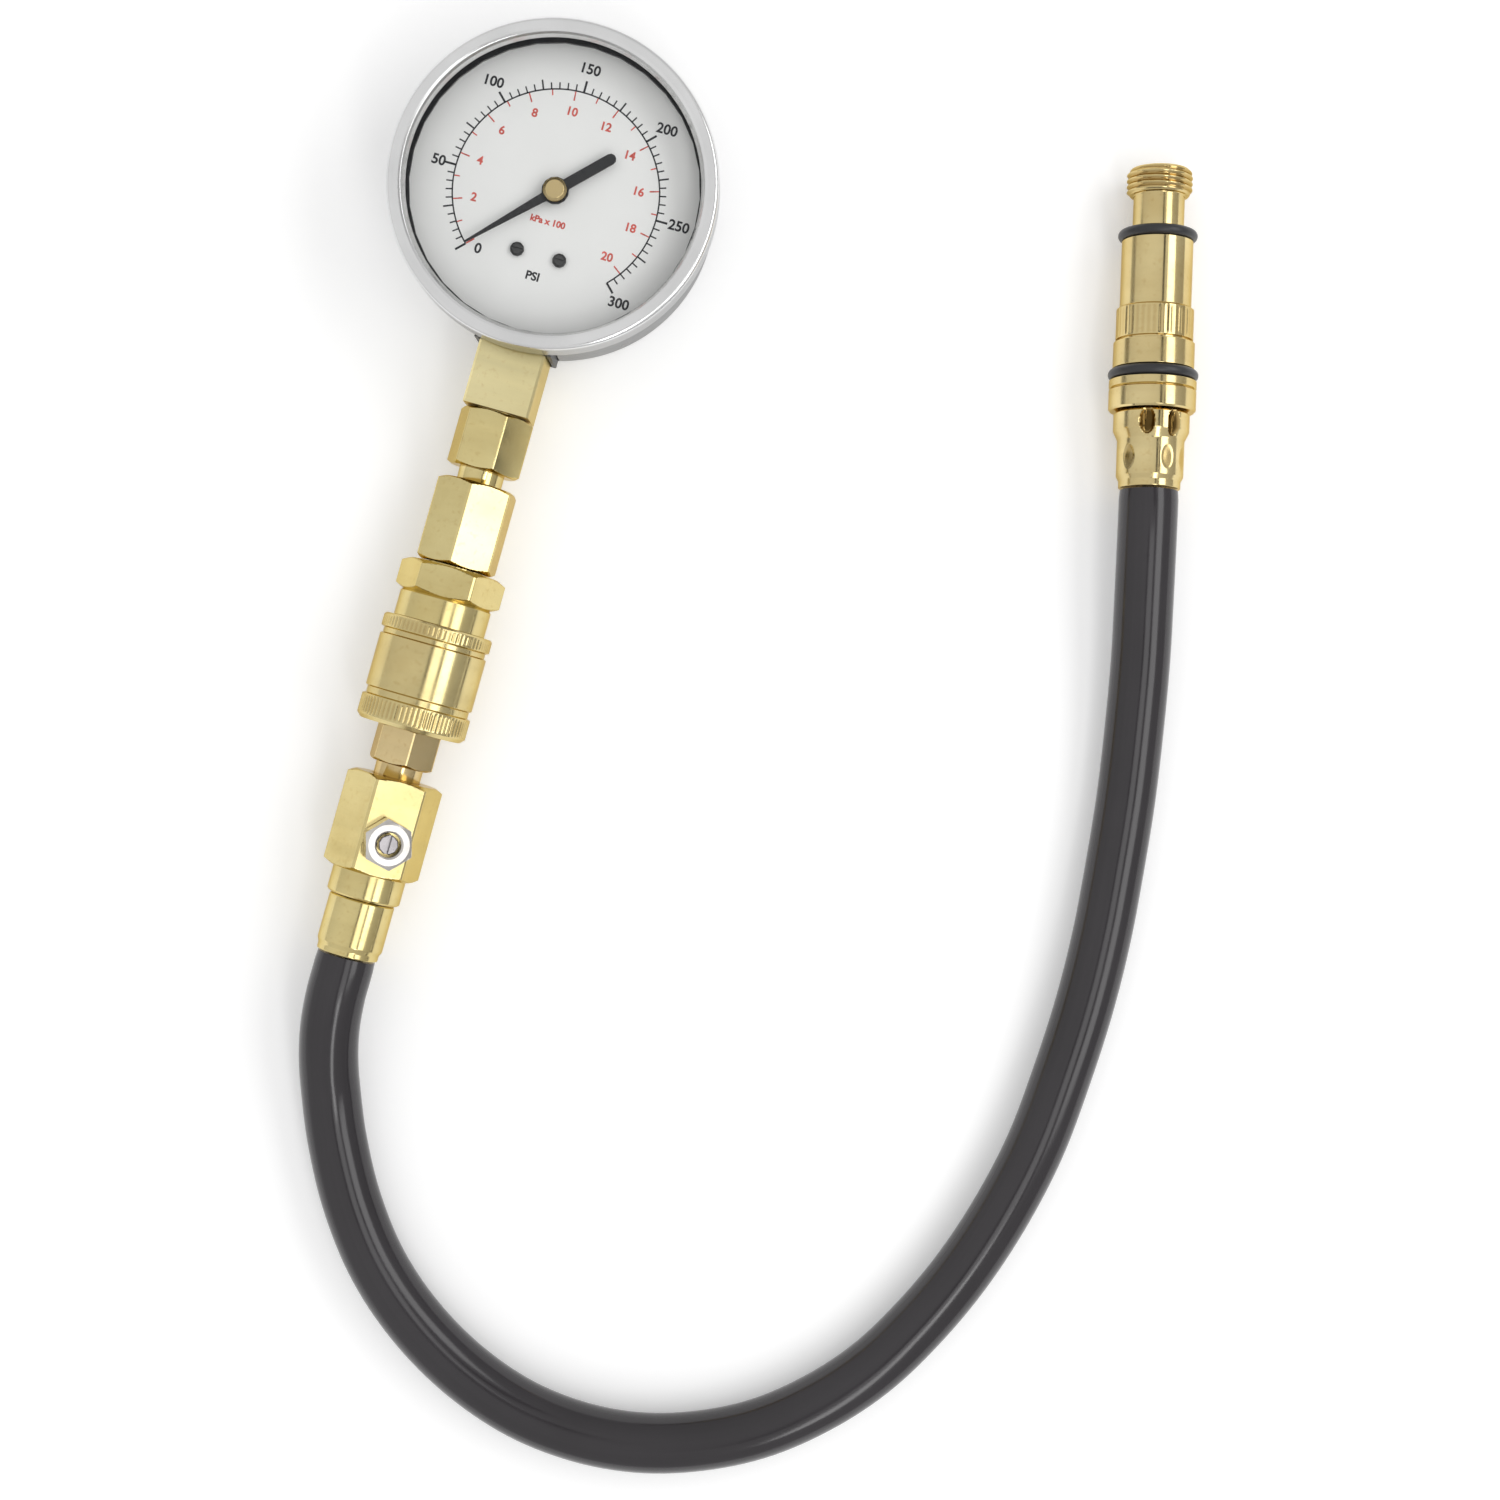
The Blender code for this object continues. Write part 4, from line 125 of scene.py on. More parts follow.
class Finish:
    """Builds one node material: a Principled shader and the patterns that feed it."""

    def __init__(self, name, metallic=0.0, turn=(0.0, 0.0, 0.0)):
        """Starts the material on Object coordinates, turned to the pattern's own axes."""
        self.material = bpy.data.materials.new(name)
        self.material.use_nodes = True
        self.nodes = self.material.node_tree.nodes
        self.links = self.material.node_tree.links
        self.shader = self.nodes["Principled BSDF"]
        self.set("Metallic", metallic)
        coordinates = self.nodes.new("ShaderNodeTexCoord")
        self.place = self.nodes.new("ShaderNodeMapping")
        self.place.vector_type = "TEXTURE"
        self.place.inputs["Rotation"].default_value = turn
        self.join(coordinates.outputs["Object"], self.place.inputs["Vector"])
        self.spot = self.place.outputs["Vector"]

    def set(self, socket, value):
        """Gives one of the shader's sockets a constant."""
        self.shader.inputs[socket].default_value = value

    def join(self, start, end):
        """Links one socket to another."""
        self.links.new(start, end)

    def stretched(self, scale):
        """The piece's own coordinates, stretched by a factor along each axis."""
        node = self.nodes.new("ShaderNodeMapping")
        node.inputs["Scale"].default_value = scale
        self.join(self.spot, node.inputs["Vector"])
        return node.outputs["Vector"]

    def noise(self, scale, detail=3.0, where=None):
        """A cloudy pattern from 0 to 1, on the piece's own coordinates unless others are given."""
        node = self.nodes.new("ShaderNodeTexNoise")
        node.inputs["Scale"].default_value = scale
        node.inputs["Detail"].default_value = detail
        self.join(where or self.spot, node.inputs["Vector"])
        return node.outputs["Fac"]

    def ramp(self, value, stops):
        """A colour ramp: stops are pairs of position and colour or grey."""
        node = self.nodes.new("ShaderNodeValToRGB")
        points = node.color_ramp.elements
        while len(points) < len(stops):
            points.new(0.5)
        for point, (position, colour) in zip(points, stops):
            point.position = position
            point.color = (*colour, 1.0) if isinstance(colour, tuple) else (colour, colour, colour, 1.0)
        self.join(value, node.inputs["Fac"])
        return node.outputs["Color"]

    def mix(self, kind, first, second, share):
        """Two colours mixed or multiplied. The node's colour sockets are 6 and 7, and its result is 2."""
        node = self.nodes.new("ShaderNodeMix")
        node.data_type = "RGBA"
        node.blend_type = kind
        for value, socket in ((share, 0), (first, 6), (second, 7)):
            if isinstance(value, (int, float)):
                node.inputs[socket].default_value = value
            elif isinstance(value, tuple):
                node.inputs[socket].default_value = (*value, 1.0)
            else:
                self.join(value, node.inputs[socket])
        return node.outputs[2]

    def colour(self, value):
        """Links a colour to the shader."""
        self.join(value, self.shader.inputs["Base Color"])

    def roughness(self, value):
        """Links a roughness to the shader."""
        self.join(value, self.shader.inputs["Roughness"])

    def bump(self, heights):
        """Stacks bumps: each height is a pattern, its strength and its depth in millimetres."""
        normal = None
        for value, strength, depth in heights:
            node = self.nodes.new("ShaderNodeBump")
            node.inputs["Strength"].default_value = strength
            node.inputs["Distance"].default_value = depth * MM
            self.join(value, node.inputs["Height"])
            if normal:
                self.join(normal, node.inputs["Normal"])
            normal = node.outputs["Normal"]
        self.join(normal, self.shader.inputs["Normal"])


def brass(name, light, deep, lines, turn=(0.0, 0.0, 0.0), gloss=0.2):
    """Bright brass: tool marks across the stack's length, soft tarnish and worn, duller patches.

    lines is how strongly the tool marks show. The stack's length is the pattern's own Y. What lies below
    the turned surface is darkened by its depth, as painted shade; each mesh carries that depth as "recess".
    """
    made = Finish(name, metallic=1.0, turn=turn)
    made.set("Specular Tint", BRASS_EDGE_TINT)
    marks = made.noise(900.0, 2.0, made.stretched((0.06, 1.0, 0.06)))
    coarse = made.noise(260.0, 3.0, made.stretched((0.08, 1.0, 0.08)))
    cloud = made.noise(70.0, 4.0)
    specks = made.noise(900.0, 2.0)
    tone = made.ramp(cloud, [(0.3, light), (0.72, deep)])
    stain = made.ramp(specks, [(0.0, (0.5, 0.36, 0.2)), (0.3, (0.86, 0.78, 0.66)), (0.42, (1.0, 1.0, 1.0))])
    tone = made.mix("MULTIPLY", tone, stain, 0.35)
    streak = made.ramp(coarse, [(0.3, 0.86), (0.65, 1.0)])
    tone = made.mix("MULTIPLY", tone, streak, lines)
    # painted shade: the colour darkens with the point's depth below the turned surface
    depth = made.nodes.new("ShaderNodeAttribute")
    depth.attribute_name = "recess"
    tone = made.mix("MULTIPLY", tone, made.ramp(depth.outputs["Fac"], RECESS_SHADE), 1.0)
    made.colour(tone)
    worn = made.ramp(cloud, [(0.25, gloss), (0.75, gloss + 0.08)])
    made.roughness(made.mix("MIX", worn, made.ramp(coarse, [(0.3, gloss + 0.14), (0.6, gloss)]), 0.35))
    made.bump([(marks, 0.25 * lines, 0.02), (coarse, 0.2 * lines, 0.04), (specks, 0.08, 0.02)])
    return made.material


def spun_steel(name, tone, gloss):
    """Spun sheet: fine rings about the gauge's centre and a few longer scratches."""
    made = Finish(name, metallic=1.0)
    made.set("Specular Tint", (0.6, 0.6, 0.6, 1.0))
    length = made.nodes.new("ShaderNodeVectorMath")
    length.operation = "LENGTH"
    flat = made.stretched((1.0, 1.0, 0.0))
    made.join(flat, length.inputs[0])
    split = made.nodes.new("ShaderNodeSeparateXYZ")
    made.join(made.spot, split.inputs["Vector"])
    total = made.nodes.new("ShaderNodeMath")
    total.operation = "ADD"
    made.join(length.outputs["Value"], total.inputs[0])
    made.join(split.outputs["Z"], total.inputs[1])
    rings = made.nodes.new("ShaderNodeTexNoise")
    rings.noise_dimensions = "1D"
    rings.inputs["Scale"].default_value = 3200.0
    rings.inputs["Detail"].default_value = 3.0
    made.join(total.outputs["Value"], rings.inputs["W"])
    cloud = made.noise(60.0, 4.0)
    shade = tuple(0.86 * c for c in tone)
    made.colour(made.ramp(cloud, [(0.3, tone), (0.75, shade)]))
    made.roughness(made.ramp(cloud, [(0.3, gloss), (0.75, gloss + 0.1)]))
    made.bump([(rings.outputs["Fac"], 0.22, 0.02), (made.noise(500.0, 2.0), 0.05, 0.02)])
    return made.material


def plain_steel(name, tone, gloss):
    """Machined or plated metal: a cloudy tone, a gloss that follows it and a fine grain."""
    made = Finish(name, metallic=1.0)
    cloud = made.noise(180.0, 4.0)
    shade = tuple(0.75 * c for c in tone)
    made.colour(made.ramp(cloud, [(0.3, tone), (0.75, shade)]))
    made.roughness(made.ramp(cloud, [(0.3, gloss), (0.75, gloss + 0.15)]))
    made.bump([(made.noise(900.0, 2.0), 0.1, 0.02)])
    return made.material


def rubber(name, tone, gloss):
    """Moulded rubber: nearly black, with a faint bloom and a fine grain."""
    made = Finish(name)
    cloud = made.noise(40.0, 4.0)
    bloom = tuple(1.7 * c for c in tone)
    made.colour(made.ramp(cloud, [(0.3, tone), (0.8, bloom)]))
    made.roughness(made.ramp(cloud, [(0.3, gloss), (0.75, gloss + 0.12)]))
    made.bump([(made.noise(700.0, 3.0), 0.12, 0.03)])
    return made.material


def hose_rubber():
    """Smooth extruded cover: its faint lines run along the hose, on the hose's own map in metres."""
    made = Finish("hose_cover")
    own = made.nodes.new("ShaderNodeUVMap")
    own.uv_map = "along"
    fine = made.nodes.new("ShaderNodeMapping")
    fine.inputs["Scale"].default_value = (900.0, 14.0, 1.0)
    made.join(own.outputs["UV"], fine.inputs["Vector"])
    lines = made.noise(1.0, 3.0, fine.outputs["Vector"])
    cloud = made.noise(30.0, 5.0)
    tone = made.ramp(cloud, [(0.25, (0.024, 0.021, 0.024)), (0.8, (0.036, 0.032, 0.036))])
    made.colour(made.mix("MULTIPLY", tone, made.ramp(lines, [(0.3, 0.8), (0.7, 1.0)]), 0.5))
    made.roughness(made.ramp(cloud, [(0.3, 0.14), (0.8, 0.2)]))
    made.bump([(lines, 0.12, 0.05), (made.noise(900.0, 2.0), 0.06, 0.02)])
    return made.material


def enamel():
    """The dial's white enamel on sheet metal, very slightly mottled."""
    made = Finish("dial_enamel")
    cloud = made.noise(120.0, 5.0)
    made.colour(made.ramp(cloud, [(0.3, (0.96, 0.955, 0.945)), (0.75, (0.93, 0.925, 0.915))]))
    made.roughness(made.ramp(cloud, [(0.3, 0.38), (0.75, 0.5)]))
    made.bump([(made.noise(1400.0, 2.0), 0.1, 0.02)])
    return made.material


def print_ink(name, tone):
    """Printing ink: matt, and a little paler in patches."""
    made = Finish(name)
    cloud = made.noise(900.0, 3.0)
    paler = tuple(min(1.0, 1.5 * c + 0.01) for c in tone)
    made.colour(made.ramp(cloud, [(0.35, tone), (0.8, paler)]))
    made.roughness(made.ramp(cloud, [(0.3, 0.45), (0.75, 0.6)]))
    return made.material


def clear_glass():
    """A thin pane: light goes straight through, and Fresnel gives the gloss on top."""
    made = Finish("lens_glass")
    made.set("Base Color", (0.02, 0.02, 0.02, 1.0))
    made.set("Specular IOR Level", 1.0)
    smear = made.noise(45.0, 4.0)
    made.roughness(made.ramp(smear, [(0.35, 0.03), (0.8, 0.1)]))
    through = made.nodes.new("ShaderNodeBsdfTransparent")
    through.inputs["Color"].default_value = (0.995, 0.998, 0.996, 1.0)
    side = made.nodes.new("ShaderNodeNewGeometry")
    index = made.nodes.new("ShaderNodeMapRange")
    index.inputs["To Min"].default_value = GLASS_INDEX
    index.inputs["To Max"].default_value = 1 / GLASS_INDEX
    made.join(side.outputs["Backfacing"], index.inputs["Value"])
    edge = made.nodes.new("ShaderNodeFresnel")
    made.join(index.outputs["Result"], edge.inputs["IOR"])
    both = made.nodes.new("ShaderNodeMixShader")
    made.join(edge.outputs[0], both.inputs[0])
    made.join(through.outputs["BSDF"], both.inputs[1])
    made.join(made.shader.outputs["BSDF"], both.inputs[2])
    made.join(both.outputs["Shader"], made.nodes["Material Output"].inputs["Surface"])
    return made.material


# Frames and profiles
STACK = Matrix.Translation((0.0, 0.0, STEM_Z * MM)) @ Matrix.Rotation(math.pi / 2, 4, "X")


def far_frame():
    """The port fitting lies on its two rubber rings, so it is tilted by their sizes."""
    tilt = math.asin((UPPER_SEAL[1] - LOWER_SEAL[1]) / (LOWER_SEAL[0] - UPPER_SEAL[0]))
    heading = math.radians(FAR_HEADING_DEG)
    level = Vector((math.cos(heading), math.sin(heading), 0.0))
    along = level * math.cos(tilt) - Vector((0.0, 0.0, math.sin(tilt)))
    side = Vector((math.sin(heading), -math.cos(heading), 0.0))
    up = side.cross(along)
    height = UPPER_SEAL[1] + REST + UPPER_SEAL[0] * math.sin(tilt)
    place = Vector((*FAR_START, height)) * MM
    return Matrix.Translation(place) @ Matrix((side, up, along)).transposed().to_4x4()


FAR = far_frame()
VALVE_TURN_DEG = 17.0
RELEASE_STATION = 141.1
RELEASE = (
    STACK
    @ Matrix.Translation((0.0, 0.0, RELEASE_STATION * MM))
    @ Matrix.Rotation(-math.radians(VALVE_TURN_DEG), 4, "Z")
    @ Matrix.Rotation(-math.pi / 2, 4, "X")
)
LEVEL = Matrix.Identity(4)


def rounded(corners, usual=0.12, closed=True):
    """An outline whose corners become arcs, with a holding point just beyond each end of an arc.

    A corner is (radius, station) or (radius, station, rounding). At a corner with unit ways u and v to
    its neighbours and an angle w between them, the arc of radius r starts r / tan(w / 2) from it.
    """
    places = np.array([corner[:2] for corner in corners], dtype=float)
    points = []
    count = len(places)
    for i, corner in enumerate(corners):
        here = places[i]
        size = corner[2] if len(corner) > 2 else usual
        ends = not closed and i in (0, count - 1)
        to_last = places[i - 1] - here
        to_next = places[(i + 1) % count] - here
        reach = min(np.linalg.norm(to_last), np.linalg.norm(to_next))
        if size == 0 or ends or here[0] == 0 or reach == 0:
            points.append(here)
            continue
        u = to_last / np.linalg.norm(to_last)
        v = to_next / np.linalg.norm(to_next)
        half = 0.5 * math.acos(float(np.clip(u @ v, -1.0, 1.0)))
        if half > 1.5:
            points.append(here)
            continue
        back = min(size / math.tan(half), 0.42 * reach)
        size = back * math.tan(half)
        middle = here + (u + v) / np.linalg.norm(u + v) * size / math.sin(half)
        steps = 3 if size < 0.5 else 10
        start, end = here + u * back - middle, here + v * back - middle
        spread = math.pi - 2 * half
        points.append(here + u * back * 1.15)
        for k in range(steps + 1):
            share = k / steps
            arc = math.sin((1 - share) * spread) * start + math.sin(share * spread) * end
            points.append(middle + arc / math.sin(spread))
        points.append(here + v * back * 1.15)
    return np.array(points)


def denser(points, zones, closed=True):
    """Splits the outline's outer spans: zones are (from, to, step) along the piece."""
    pairs = list(zip(points[:-1], points[1:]))
    if closed:
        pairs.append((points[-1], points[0]))
    result = []
    for a, b in pairs:
        count = 1
        for low, high, step in zones:
            if low <= min(a[1], b[1]) and max(a[1], b[1]) <= high:
                count = max(count, int(math.ceil(np.linalg.norm(b - a) / step)))
        shares = np.arange(count)[:, None] / count
        result.append(a + (b - a) * shares)
    if not closed:
        result.append(points[-1:])
    return np.vstack(result)


def hexagon_radius(angles, across, turn_deg):
    """A hexagon's radius: half its width over the cosine of the angle from its nearest facet."""
    first = math.pi / 2 - math.radians(turn_deg)
    away = (angles - first + math.pi / 6) % (math.pi / 3) - math.pi / 6
    return np.minimum(across / 2 / np.cos(away), CORNER_WEAR * across / math.sqrt(3))


def hexagon_angles(turn_deg):
    """Angles round a hexagon, close together at its corners."""
    worn = math.degrees(math.acos(math.cos(math.pi / 6) / CORNER_WEAR))
    near = [worn - 1.2, worn - 0.4, worn, worn + 0.7]
    offsets = [-30.0] + [-x for x in reversed(near)] + list(np.linspace(-25, 25, 11)) + near
    first = 90.0 - turn_deg
    return np.radians([first + 60.0 * k + x for k in range(6) for x in offsets])


# Reliefs, all in millimetres: positive stands out
KNURL_FADE = 0.3


def thread(low, high, pitch, depth):
    """A helix: the depth follows a triangle wave of station / pitch less the angle's share of a turn."""

    def relief(_radii, stations, angles):
        phase = (stations / pitch - angles / (2 * math.pi)) % 1.0
        groove = np.clip(1.35 * np.abs(2 * phase - 1) - 0.15, 0.0, 1.0)
        rise = np.clip((stations - low) / (0.5 * pitch), 0, 1)
        fall = np.clip((high - stations) / (0.5 * pitch), 0, 1)
        fade = rise * fall
        return -depth * groove * fade

    return relief


def knurl(low, high, teeth, depth):
    """Straight flutes: the depth follows the cosine of so many times the angle, faded at both ends."""

    def relief(_radii, stations, angles):
        rise = np.clip((stations - low) / KNURL_FADE, 0, 1)
        fall = np.clip((high - stations) / KNURL_FADE, 0, 1)
        fade = rise * fall
        return -depth * (0.5 + 0.5 * np.cos(teeth * angles)) * fade

    return relief


def dents(spots):
    """Dents: each is (station, angle in degrees, half length, half width, depth).

    A dent is a bowl: its depth times a share to the power 0.6. The share is 1 less the square of the way
    along over the half length, less the square of the way round over the half width.
    """

    def relief(radii, stations, angles):
        total = np.zeros(np.broadcast(radii, stations, angles).shape)
        for station, angle_deg, long, wide, depth in spots:
            turn = (angles - math.radians(angle_deg) + math.pi) % (2 * math.pi) - math.pi
            share = ((stations - station) / long) ** 2 + (radii * turn / wide) ** 2
            total = total - depth * np.clip(1 - share, 0, 1) ** 0.6
        return total

    return relief


# Making pieces
def skin(name, points, wrap_rows=True, wrap_columns=True, uv=None, recess=None):
    """A grid of points becomes one closed mesh of quads that face outwards, welded at its poles.

    recess is how deep each point lies below the turned surface, kept for the finish to darken as painted
    shade.
    """
    rows, columns = points.shape[:2]
    index = np.arange(rows * columns).reshape(rows, columns)
    if wrap_rows:
        index = np.vstack([index, index[:1]])
    if wrap_columns:
        index = np.hstack([index, index[:, :1]])
    quads = [index[:-1, :-1], index[:-1, 1:], index[1:, 1:], index[1:, :-1]]
    quads = np.stack(quads, axis=-1).reshape(-1, 4)
    corners = None
    if uv is not None:
        corners = np.stack([uv[:-1, :-1], uv[:-1, 1:], uv[1:, 1:], uv[1:, :-1]], axis=2).reshape(-1, 4, 2)
    flat = points.reshape(-1, 3)
    a, b, c, d = (flat[quads[:, k]] for k in range(4))
    volume = np.sum(a * (np.cross(b, c) + np.cross(c, d)))
    if volume < 0:
        quads = quads[:, ::-1]
        corners = None if corners is None else corners[:, ::-1]
    mesh = bpy.data.meshes.new(name)
    mesh.vertices.add(len(flat))
    mesh.vertices.foreach_set("co", flat.ravel())
    mesh.loops.add(quads.size)
    mesh.loops.foreach_set("vertex_index", quads.ravel().astype(np.int32))
    mesh.polygons.add(len(quads))
    mesh.polygons.foreach_set("loop_start", np.arange(0, quads.size, 4, dtype=np.int32))
    mesh.update(calc_edges=True)
    if corners is not None:
        layer = mesh.uv_layers.new(name="along")
        layer.data.foreach_set("uv", corners.ravel())
    if recess is not None:
        depth = mesh.attributes.new("recess", "FLOAT", "POINT")
        depth.data.foreach_set("value", recess.ravel().astype(np.float32))
    weld(mesh)
    return mesh


def weld(mesh, distance=1e-7):
    """Merges points closer than a distance in metres, and clears the edges and faces that collapse."""
    working = bmesh.new()
    working.from_mesh(mesh)
    bmesh.ops.remove_doubles(working, verts=working.verts, dist=distance)
    bmesh.ops.dissolve_degenerate(working, edges=working.edges, dist=distance)
    working.to_mesh(mesh)
    working.free()


def piece(name, mesh, finish, body, stands_for=(), sharp_deg=32.0):
    """Puts a finished mesh into the scene, in the row frame, riding on its body."""
    mesh.materials.clear()
    mesh.materials.append(finish)
    mesh.shade_smooth()
    mesh.set_sharp_from_angle(angle=math.radians(sharp_deg))
    made = bpy.data.objects.new(name, mesh)
    bpy.context.scene.collection.objects.link(made)
    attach(made, body)
    if stands_for:
        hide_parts(*stands_for)
    return made


def lathe(name, corners, place, angles=SIDES, flats=(), reliefs=(), zones=(), usual=0.12, inner=0.0):
    """A turned piece: radius and station from the outline, carried round the axis.

    flats are (across, turn in degrees, from, to): there the radius is the lesser of the turned one and
    the hexagon's. reliefs add to the radius of what lies outside the radius `inner`.
    """
    on_axis = corners[0][0] == 0 and corners[-1][0] == 0
    outline = rounded(corners, usual, closed=not on_axis)
    outline = denser(outline, zones, closed=not on_axis)
    if isinstance(angles, int):
        angles = np.arange(angles) * 2 * math.pi / angles
    radii = outline[:, :1] + 0.0 * angles[None, :]
    stations = outline[:, 1:2] + 0.0 * angles[None, :]
    turns = angles[None, :] + 0.0 * radii
    outside = radii > inner
    for across, turn_deg, low, high in flats:
        milled = np.minimum(radii, hexagon_radius(turns, across, turn_deg))
        here = (stations >= low - 0.01) & (stations <= high + 0.01) & outside
        radii = np.where(here, milled, radii)
    turned = radii
    for relief in reliefs:
        radii = np.where(outside, radii + relief(radii, stations, turns), radii)
    local = np.stack([radii * np.cos(turns), radii * np.sin(turns), stations], axis=-1) * MM
    turn = np.array(place.to_3x3())
    points = local @ turn.T + np.array(place.translation)
    return skin(name, points, wrap_rows=not on_axis, recess=turned - radii)


def hex_blank(across, low, high, chamfer):
    """A hexagon's turned blank: past its corners, with chamfered ends."""
    reach = 1.02 * across / math.sqrt(3)
    edge = across / 2 - chamfer
    slope = (reach - edge) * 0.5
    return [(edge, low), (reach, low + slope), (reach, high - slope), (edge, high)]


def cut_away(mesh, tools):
    """The mesh less each tool's mesh, by exact solids."""
    body = bpy.data.objects.new("cutting", mesh)
    bpy.context.scene.collection.objects.link(body)
    helpers = []
    for tool in tools:
        helper = bpy.data.objects.new("tool", tool)
        bpy.context.scene.collection.objects.link(helper)
        helpers.append(helper)
        change = body.modifiers.new("cut", "BOOLEAN")
        change.operation = "DIFFERENCE"
        change.solver = "EXACT"
        change.object = helper
    bpy.context.view_layer.update()
    result = bpy.data.meshes.new_from_object(body.evaluated_get(bpy.context.evaluated_depsgraph_get()))
    result.name = mesh.name
    for helper in helpers:
        bpy.data.objects.remove(helper)
    bpy.data.objects.remove(body)
    return result


def box_mesh(name, low, high, place=LEVEL):
    """A box between two corners given in millimetres."""
    x, y, z = (np.array([a, b]) for a, b in zip(low, high))
    grid = np.array([(i, j, k) for k in z for j in y for i in x]) * MM
    points = grid @ np.array(place.to_3x3()).T + np.array(place.translation)
    faces = [(0, 2, 3, 1), (4, 5, 7, 6), (0, 1, 5, 4), (2, 6, 7, 3), (0, 4, 6, 2), (1, 3, 7, 5)]
    mesh = bpy.data.meshes.new(name)
    mesh.from_pydata(points.tolist(), [], faces)
    return mesh


# Camera
def set_camera():
    """The photograph's camera: straight down, turned so that the photograph's up is its own."""
    data = bpy.data.cameras.new("camera")
    data.lens = CAMERA_LENS
    data.sensor_width = 36.0
    data.clip_start = 0.01
    camera = bpy.data.objects.new("camera", data)
    camera.location = [c * MM for c in CAMERA_PLACE]
    camera.rotation_euler = (0.0, 0.0, math.radians(CAMERA_TURN_DEG))
    bpy.context.scene.collection.objects.link(camera)
    bpy.context.scene.camera = camera


# Hose
def smooth_route(step):
    """Points a step apart on the cubic through the route, with slopes from each point's neighbours."""
    knots = np.array(HOSE_ROUTE)
    chords = np.linalg.norm(np.diff(knots, axis=0), axis=1)
    along = np.concatenate([[0.0], np.cumsum(chords)])
    before = 2 * knots[0] - knots[1]
    after = 2 * knots[-1] - knots[-2]
    padded = np.vstack([before, knots, after])
    spots = np.concatenate([[-chords[0]], along, [along[-1] + chords[-1]]])
    slopes = (padded[2:] - padded[:-2]) / (spots[2:] - spots[:-2])[:, None]
    wanted = np.linspace(0.0, along[-1], int(round(along[-1] / step)) + 1)
    left = np.clip(np.searchsorted(along, wanted, side="right") - 1, 0, len(chords) - 1)
    span = (along[left + 1] - along[left])[:, None]
    t = ((wanted - along[left]) / span[:, 0])[:, None]
    first = (1 + 2 * t) * (1 - t) ** 2 * knots[left] + t * (1 - t) ** 2 * span * slopes[left]
    second = t**2 * (3 - 2 * t) * knots[left + 1] + t**2 * (t - 1) * span * slopes[left + 1]
    return first + second


def make_hose(finish):
    """A round tube carried along the route: point = middle + r (side cos a + up sin a)."""
    middle = smooth_route(2.0 * MM)
    ahead = np.gradient(middle, axis=0)
    ahead /= np.linalg.norm(ahead, axis=1)[:, None]
    side = np.cross(ahead, (0.0, 0.0, 1.0))
    side /= np.linalg.norm(side, axis=1)[:, None]
    up = np.cross(side, ahead)
    radius = HOSE_RADIUS * MM
    # rows: a pole, a rounded edge, the tube, a rounded edge and a pole
    rows = [(0, 0.0), (0, 0.92), (0, 0.98)]
    rows += [(i, 1.0) for i in range(1, len(middle) - 1)]
    last = len(middle) - 1
    rows += [(last, 0.98), (last, 0.92), (last, 0.0)]
    picks = np.array([i for i, _ in rows])
    sizes = np.array([s for _, s in rows]) * radius
    angles = np.arange(HOSE_SIDES) * 2 * math.pi / HOSE_SIDES
    sideways = side[picks][:, None] * np.cos(angles)[None, :, None]
    upwards = up[picks][:, None] * np.sin(angles)[None, :, None]
    ring = sideways + upwards
    points = middle[picks][:, None] + ring * sizes[:, None, None]
    length = np.concatenate([[0.0], np.cumsum(np.linalg.norm(np.diff(middle, axis=0), axis=1))])[picks]
    around = np.append(angles, 2 * math.pi) * radius
    uv = np.stack(np.broadcast_arrays(around[None, :], length[:, None]), axis=-1)
    mesh = skin("hose_cover", points, wrap_rows=False, uv=uv)
    hose = piece("hose_cover", mesh, finish, "hose_side", ["hose"])
    return hose, middle


# Gauge
GAUGE_SIDES = 240
CASE_RADIUS = 33.2
CASE_HEIGHT = 22.3
BEZEL_RADIUS = 34.5
BEZEL_TOP = 28.0
STEM_OPENING = 8.65  # half the width of the square opening for the stem
CASE_SCREW_ROWS = (-16.5, -25.5)


def make_bezel(finish):
    """The rolled ring that holds the lens: an outline turned about the gauge's axis."""
    corners = [
        (30.7, 25.8, 0.1),
        (30.7, 26.12, 0.1),
        (31.1, 27.2, 0.3),
        (31.5, 27.84, 0.3),
        (32.1, BEZEL_TOP, 0.6),
        (BEZEL_RADIUS, BEZEL_TOP, 1.6),
        (BEZEL_RADIUS, 20.8, 0.25),
        (33.7, 20.8, 0.15),
        (33.7, 27.2, 0.7),
        (31.9, 27.2, 0.1),
        (31.7, 25.8, 0.1),
    ]
    mesh = lathe("bezel", corners, LEVEL, GAUGE_SIDES)
    piece("bezel", mesh, finish, "gauge", ["bezel_ring"])


def make_case(finish):
    """The spun cup: an outline turned about the gauge's axis, less the stem's opening and screw holes."""
    corners = [(0, 0), (CASE_RADIUS, 0, 5.0), (CASE_RADIUS, CASE_HEIGHT, 0.2)]
    corners += [(32.2, CASE_HEIGHT, 0.2), (32.2, 1.5, 4.0), (0, 1.5)]
    mesh = lathe("case_cup", corners, LEVEL, GAUGE_SIDES)
    low = (-STEM_OPENING, -36.0, STEM_Z - STEM_OPENING)
    high = (STEM_OPENING, -26.0, STEM_Z + STEM_OPENING)
    tools = [box_mesh("opening", low, high)]
    for y in CASE_SCREW_ROWS:
        sink = [(0, -1.0), (2.6, -1.0, 0), (2.6, 0, 0), (1.7, 1.5, 0), (1.7, 2.5, 0), (0, 2.5)]
        tools.append(lathe("sink", sink, Matrix.Translation((0.0, y * MM, 0.0)), 32))
    mesh = cut_away(mesh, tools)
    piece("case_cup", mesh, finish, "gauge", ["case"])


